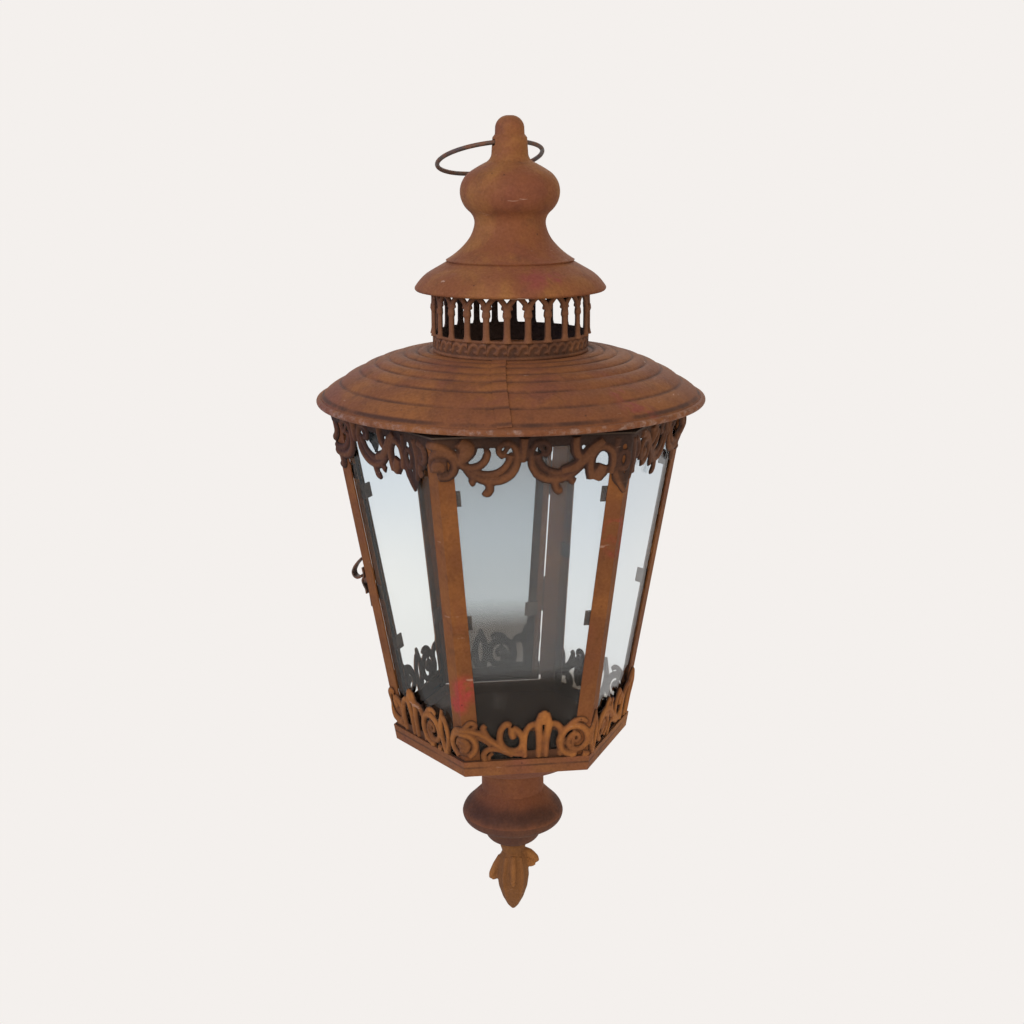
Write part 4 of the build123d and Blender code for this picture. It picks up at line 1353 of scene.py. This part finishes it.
@dataclass
class LatchCurl:
    """Curled thumb piece of the latch, bent from a narrow strap, in mm on the latch's side."""

    side: Side = Side.BACK_LEFT
    pivot_in: float = 5.0
    pivot_z: float = 112.0
    half_strap: float = 2.6
    half_thick: float = 0.65
    weld: float = 0.01

    # Points up the slope and outward from the pivot.
    PATHS = (
        ((15.5, 2.9), (13.0, 6.2), (9.0, 10.0), (5.5, 11.4), (2.6, 10.0), (2.0, 7.2), (3.6, 5.0)),
        ((9.0, 3.2), (3.0, 3.3), (0.2, 4.8), (-3.0, 4.4), (-6.0, 3.3), (-9.2, 3.2)),
    )

    def build(self) -> None:
        """Bend the straps and set them over the latch's pivot."""
        paths = [[(up, out, 0, 1) for up, out in path] for path in self.PATHS]
        strap = {"extrude": self.half_strap, "bevel_depth": self.half_thick, "bevel_resolution": 3}
        curl = rename(sweep(paths, dimensions="2D", **strap), "latch_curl")
        edit(curl, lambda: bpy.ops.mesh.remove_doubles(threshold=self.weld), face_outward)
        across = CAGE.half_width(self.pivot_z) - self.pivot_in
        up = self.pivot_z / math.cos(CAGE.tilt)
        reshape(curl, lambda co: CAGE.lay(self.side, co[:, [2, 0, 1]] + (across, up, 0)))
        smooth(curl)
        dress(curl, "drawn_iron_wire")
        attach(curl, "latch")


@dataclass
class DoorStop:
    """Narrow strip inside the hinge post that leaves a thread of light beside the door, in mm."""

    side: Side = Side.BACK
    edges: tuple[float, float] = (8.4, 11.7)
    heights: tuple[float, float] = (12.0, 204.0)
    depths: tuple[float, float] = (-1.9, -1.05)

    def corners(self, cube: np.ndarray) -> np.ndarray:
        """Find the corners of the strip.

        Args:
            cube: corners of a cube of size one about the origin.

        Returns:
            Rows of places in metres.
        """
        low, high = np.array([self.edges, self.heights, self.depths]).T
        edge, z, deep = (low + (cube + 0.5) * (high - low)).T
        return CAGE.lay(self.side, np.stack([edge - CAGE.half_width(z), z / math.cos(CAGE.tilt), deep], 1))

    def build(self) -> None:
        """Make the strip and set it inside the post."""
        deselect()
        bpy.ops.mesh.primitive_cube_add(size=1.0, location=(0, 0, 0))
        stop = rename(active(), "door_stop")
        reshape(stop, self.corners)
        dress(stop, "rusted_sheet_posts")
        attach(stop, "lantern")


@dataclass
class CarriedNodes:
    """CAD nodes whose shape is right as it is, dressed by what they are."""

    # The first rule that fits a name's start holds, and the last finish takes the rest.
    RULES = (
        (("pane_back_right",), "smoky_sheet_glass"),
        (("pane_front_", "pane_back_"), "soda_lime_sheet_glass"),
        (("pane_front",), "hazy_sheet_glass_painted_shade"),
        (("pane_back",), "sooty_sheet_glass_painted_shade"),
        (
            ("post_", "door_post", "door_hinge", "door_latch", "door_foot", "door_head"),
            "rusted_sheet_posts",
        ),
        (("crown_",), "rusted_sheet_crown"),
        (("roof_collar",), "rusted_sheet_inner"),
        (("roof", "rim_wire"), "rusted_sheet_roof"),
        (("floor_pan",), "rusted_sheet_pan"),
        (("pendant_bowl",), "rusted_sheet_bowl_painted_shade"),
        (("soffit_", "pendant_"), "rusted_sheet_pendant"),
        (("hanging_ring", "latch_"), "drawn_iron_wire"),
        (("",), "rusted_sheet_inner"),
    )

    def build(self) -> None:
        """Give each node that still shows its finish."""
        for name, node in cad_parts.items():
            if not node.hide_render:
                dress(node, next(finish for starts, finish in self.RULES if name.startswith(starts)))


@dataclass
class Studio:
    """Pale floor and backdrop, soft lamps and the camera of the photograph, in metres and radians."""

    paper: str = "F4F0ED"
    floor_z: float = -0.62
    floor_size: float = 14.0
    world_strength: float = 0.38
    # Under the lantern only this share of the floor is plain paper, all of it from the reach on.
    shadow_reach: float = 0.55
    shadow_share: float = 0.6
    aim: Point = (0.0, 0.0, 0.14)
    camera_at: Point = (-0.12437, -0.95127, 0.40340)
    heading: float = -0.1304
    pitch: float = 0.2518
    roll: float = -0.0045
    focal_px: float = 1462.70
    frame_px: float = 1024.0
    sensor_mm: float = 36.0
    clip: tuple[float, float] = (0.01, 100.0)

    # Name, place, size, watts and colour.
    LAMPS = (
        ("key_lamp", (-1.0, -1.5, 1.2), 1.3, 27.0, "FFF8F0"),
        ("side_lamp", (-1.7, -0.3, 0.8), 1.0, 10.0, "6A94FF"),
        ("low_lamp", (0.8, -1.7, -0.2), 0.9, 4.0, "FFEEDC"),
        ("fill_lamp", (1.4, -1.3, 0.5), 1.3, 8.0, "FFF4E8"),
        ("rim_lamp", (0.4, 1.6, 1.2), 1.4, 11.0, "FFFFFF"),
    )

    def build(self) -> None:
        """Make the world, floor, lamps and camera."""
        scene = bpy.context.scene
        scene.view_settings.view_transform = "Standard"
        self.light_world(scene)
        self.lay_floor()
        for lamp in self.LAMPS:
            self.hang_lamp(*lamp)
        self.set_camera(scene)

    def seen(self, tree: bpy.types.NodeTree) -> Socket:
        """Find the rays that should see plain paper.

        Args:
            tree: node tree of the world or the floor.

        Returns:
            One where a ray comes from the camera, a gloss or a pane.
        """
        path = add_node(tree, "LightPath").node.outputs
        seen = path["Is Camera Ray"]
        for kind in ("Is Glossy Ray", "Is Transmission Ray"):
            seen = add_node(tree, "Math", (seen, path[kind]), operation="MAXIMUM")
        return seen

    def light_world(self, scene: bpy.types.Scene) -> None:
        """White even light, with paper behind the object.

        Args:
            scene: the scene that gets it.
        """
        scene.world = bpy.data.worlds.new("studio")
        scene.world.use_nodes = True
        tree = scene.world.node_tree
        tree.nodes.clear()
        light = add_node(tree, "Background", ((1.0, 1.0, 1.0, 1.0), self.world_strength))
        paper = add_node(tree, "Background", (linear(self.paper), 1.0))
        add_node(tree, "OutputWorld", (add_node(tree, "MixShader", (self.seen(tree), light, paper)),))

    def lay_floor(self) -> None:
        """Pale floor far under the hanging lantern, which still takes its shadow."""
        deselect()
        bpy.ops.mesh.primitive_plane_add(size=self.floor_size, location=(0, 0, self.floor_z))
        floor = active()
        floor.name = "paper_floor"
        # White paper: matt, and lit evenly where it is only seen.
        material = bpy.data.materials.new("white_paper")
        material.use_nodes = True
        tree = material.node_tree
        tree.nodes.clear()
        matt = add_node(tree, "BsdfDiffuse", (linear(self.paper),))
        paper = add_node(tree, "Emission", (linear(self.paper), 1.0))
        place = add_node(tree, "TexCoord", out="Object")
        reach = add_node(tree, "VectorMath", (place,), "Value", operation="LENGTH")
        plain = add_node(tree, "MapRange", (reach, 0.0, self.shadow_reach, self.shadow_share, 1.0))
        share = add_node(tree, "Math", (self.seen(tree), plain), operation="MULTIPLY")
        add_node(tree, "OutputMaterial", (add_node(tree, "MixShader", (share, matt, paper)),))
        floor.data.materials.append(material)

    def hang_lamp(self, name: str, place: Point, size: float, power: float, tone: str) -> None:
        """Hang one soft square lamp that faces the lantern.

        Args:
            name: name of the lamp.
            place: where it hangs.
            size: length of its sides.
            power: its light in watts.
            tone: sRGB hex colour of its light.
        """
        deselect()
        bpy.ops.object.light_add(type="AREA", location=place)
        lamp = active()
        lamp.name = name
        lamp.data.size = size
        lamp.data.energy = power
        lamp.data.color = linear(tone)[:3]
        away = Vector(self.aim) - Vector(place)
        lamp.rotation_euler = away.to_track_quat("-Z", "Y").to_euler()

    def set_camera(self, scene: bpy.types.Scene) -> None:
        """Set the camera where the photograph was taken from.

        Args:
            scene: the scene that gets it.
        """
        deselect()
        bpy.ops.object.camera_add(location=self.camera_at)
        camera = active()
        turn = Matrix.Rotation(self.heading, 3, "Z")
        tip = Matrix.Rotation(math.pi / 2 - self.pitch, 3, "X")
        camera.rotation_euler = (turn @ tip @ Matrix.Rotation(self.roll, 3, "Z")).to_euler()
        camera.data.sensor_width = self.sensor_mm
        camera.data.lens = self.sensor_mm * self.focal_px / self.frame_px
        camera.data.clip_start, camera.data.clip_end = self.clip
        scene.camera = camera


def main() -> None:
    """Build the studio and every piece in order."""
    logging.basicConfig(level=logging.INFO, format="%(message)s")
    Studio().build()
    ScrollStrip(
        node="frieze", finish="rusted_pressed_frieze", slot="frieze_rust", strokes=FRIEZE, repeat=141.5,
        half=58.0, base_z=230.0, door_low=180.0, door_high=227.9, door_trim=11.4,
    ).build()
    ScrollStrip(
        node="crest", finish="rusted_pressed_crest", slot="crest_rust", strokes=CREST, repeat=107.8,
        half=41.4, base_z=0.0, door_low=7.9, door_high=60.0, door_trim=11.4, door_lift=8.6,
        swell=1.04, flange=1.25,
    ).build()
    for kind in (VentGallery, LeafFinial, RoofSeam, LatchCurl, DoorStop, CarriedNodes):
        kind().build()


if __name__ == "__main__":
    main()
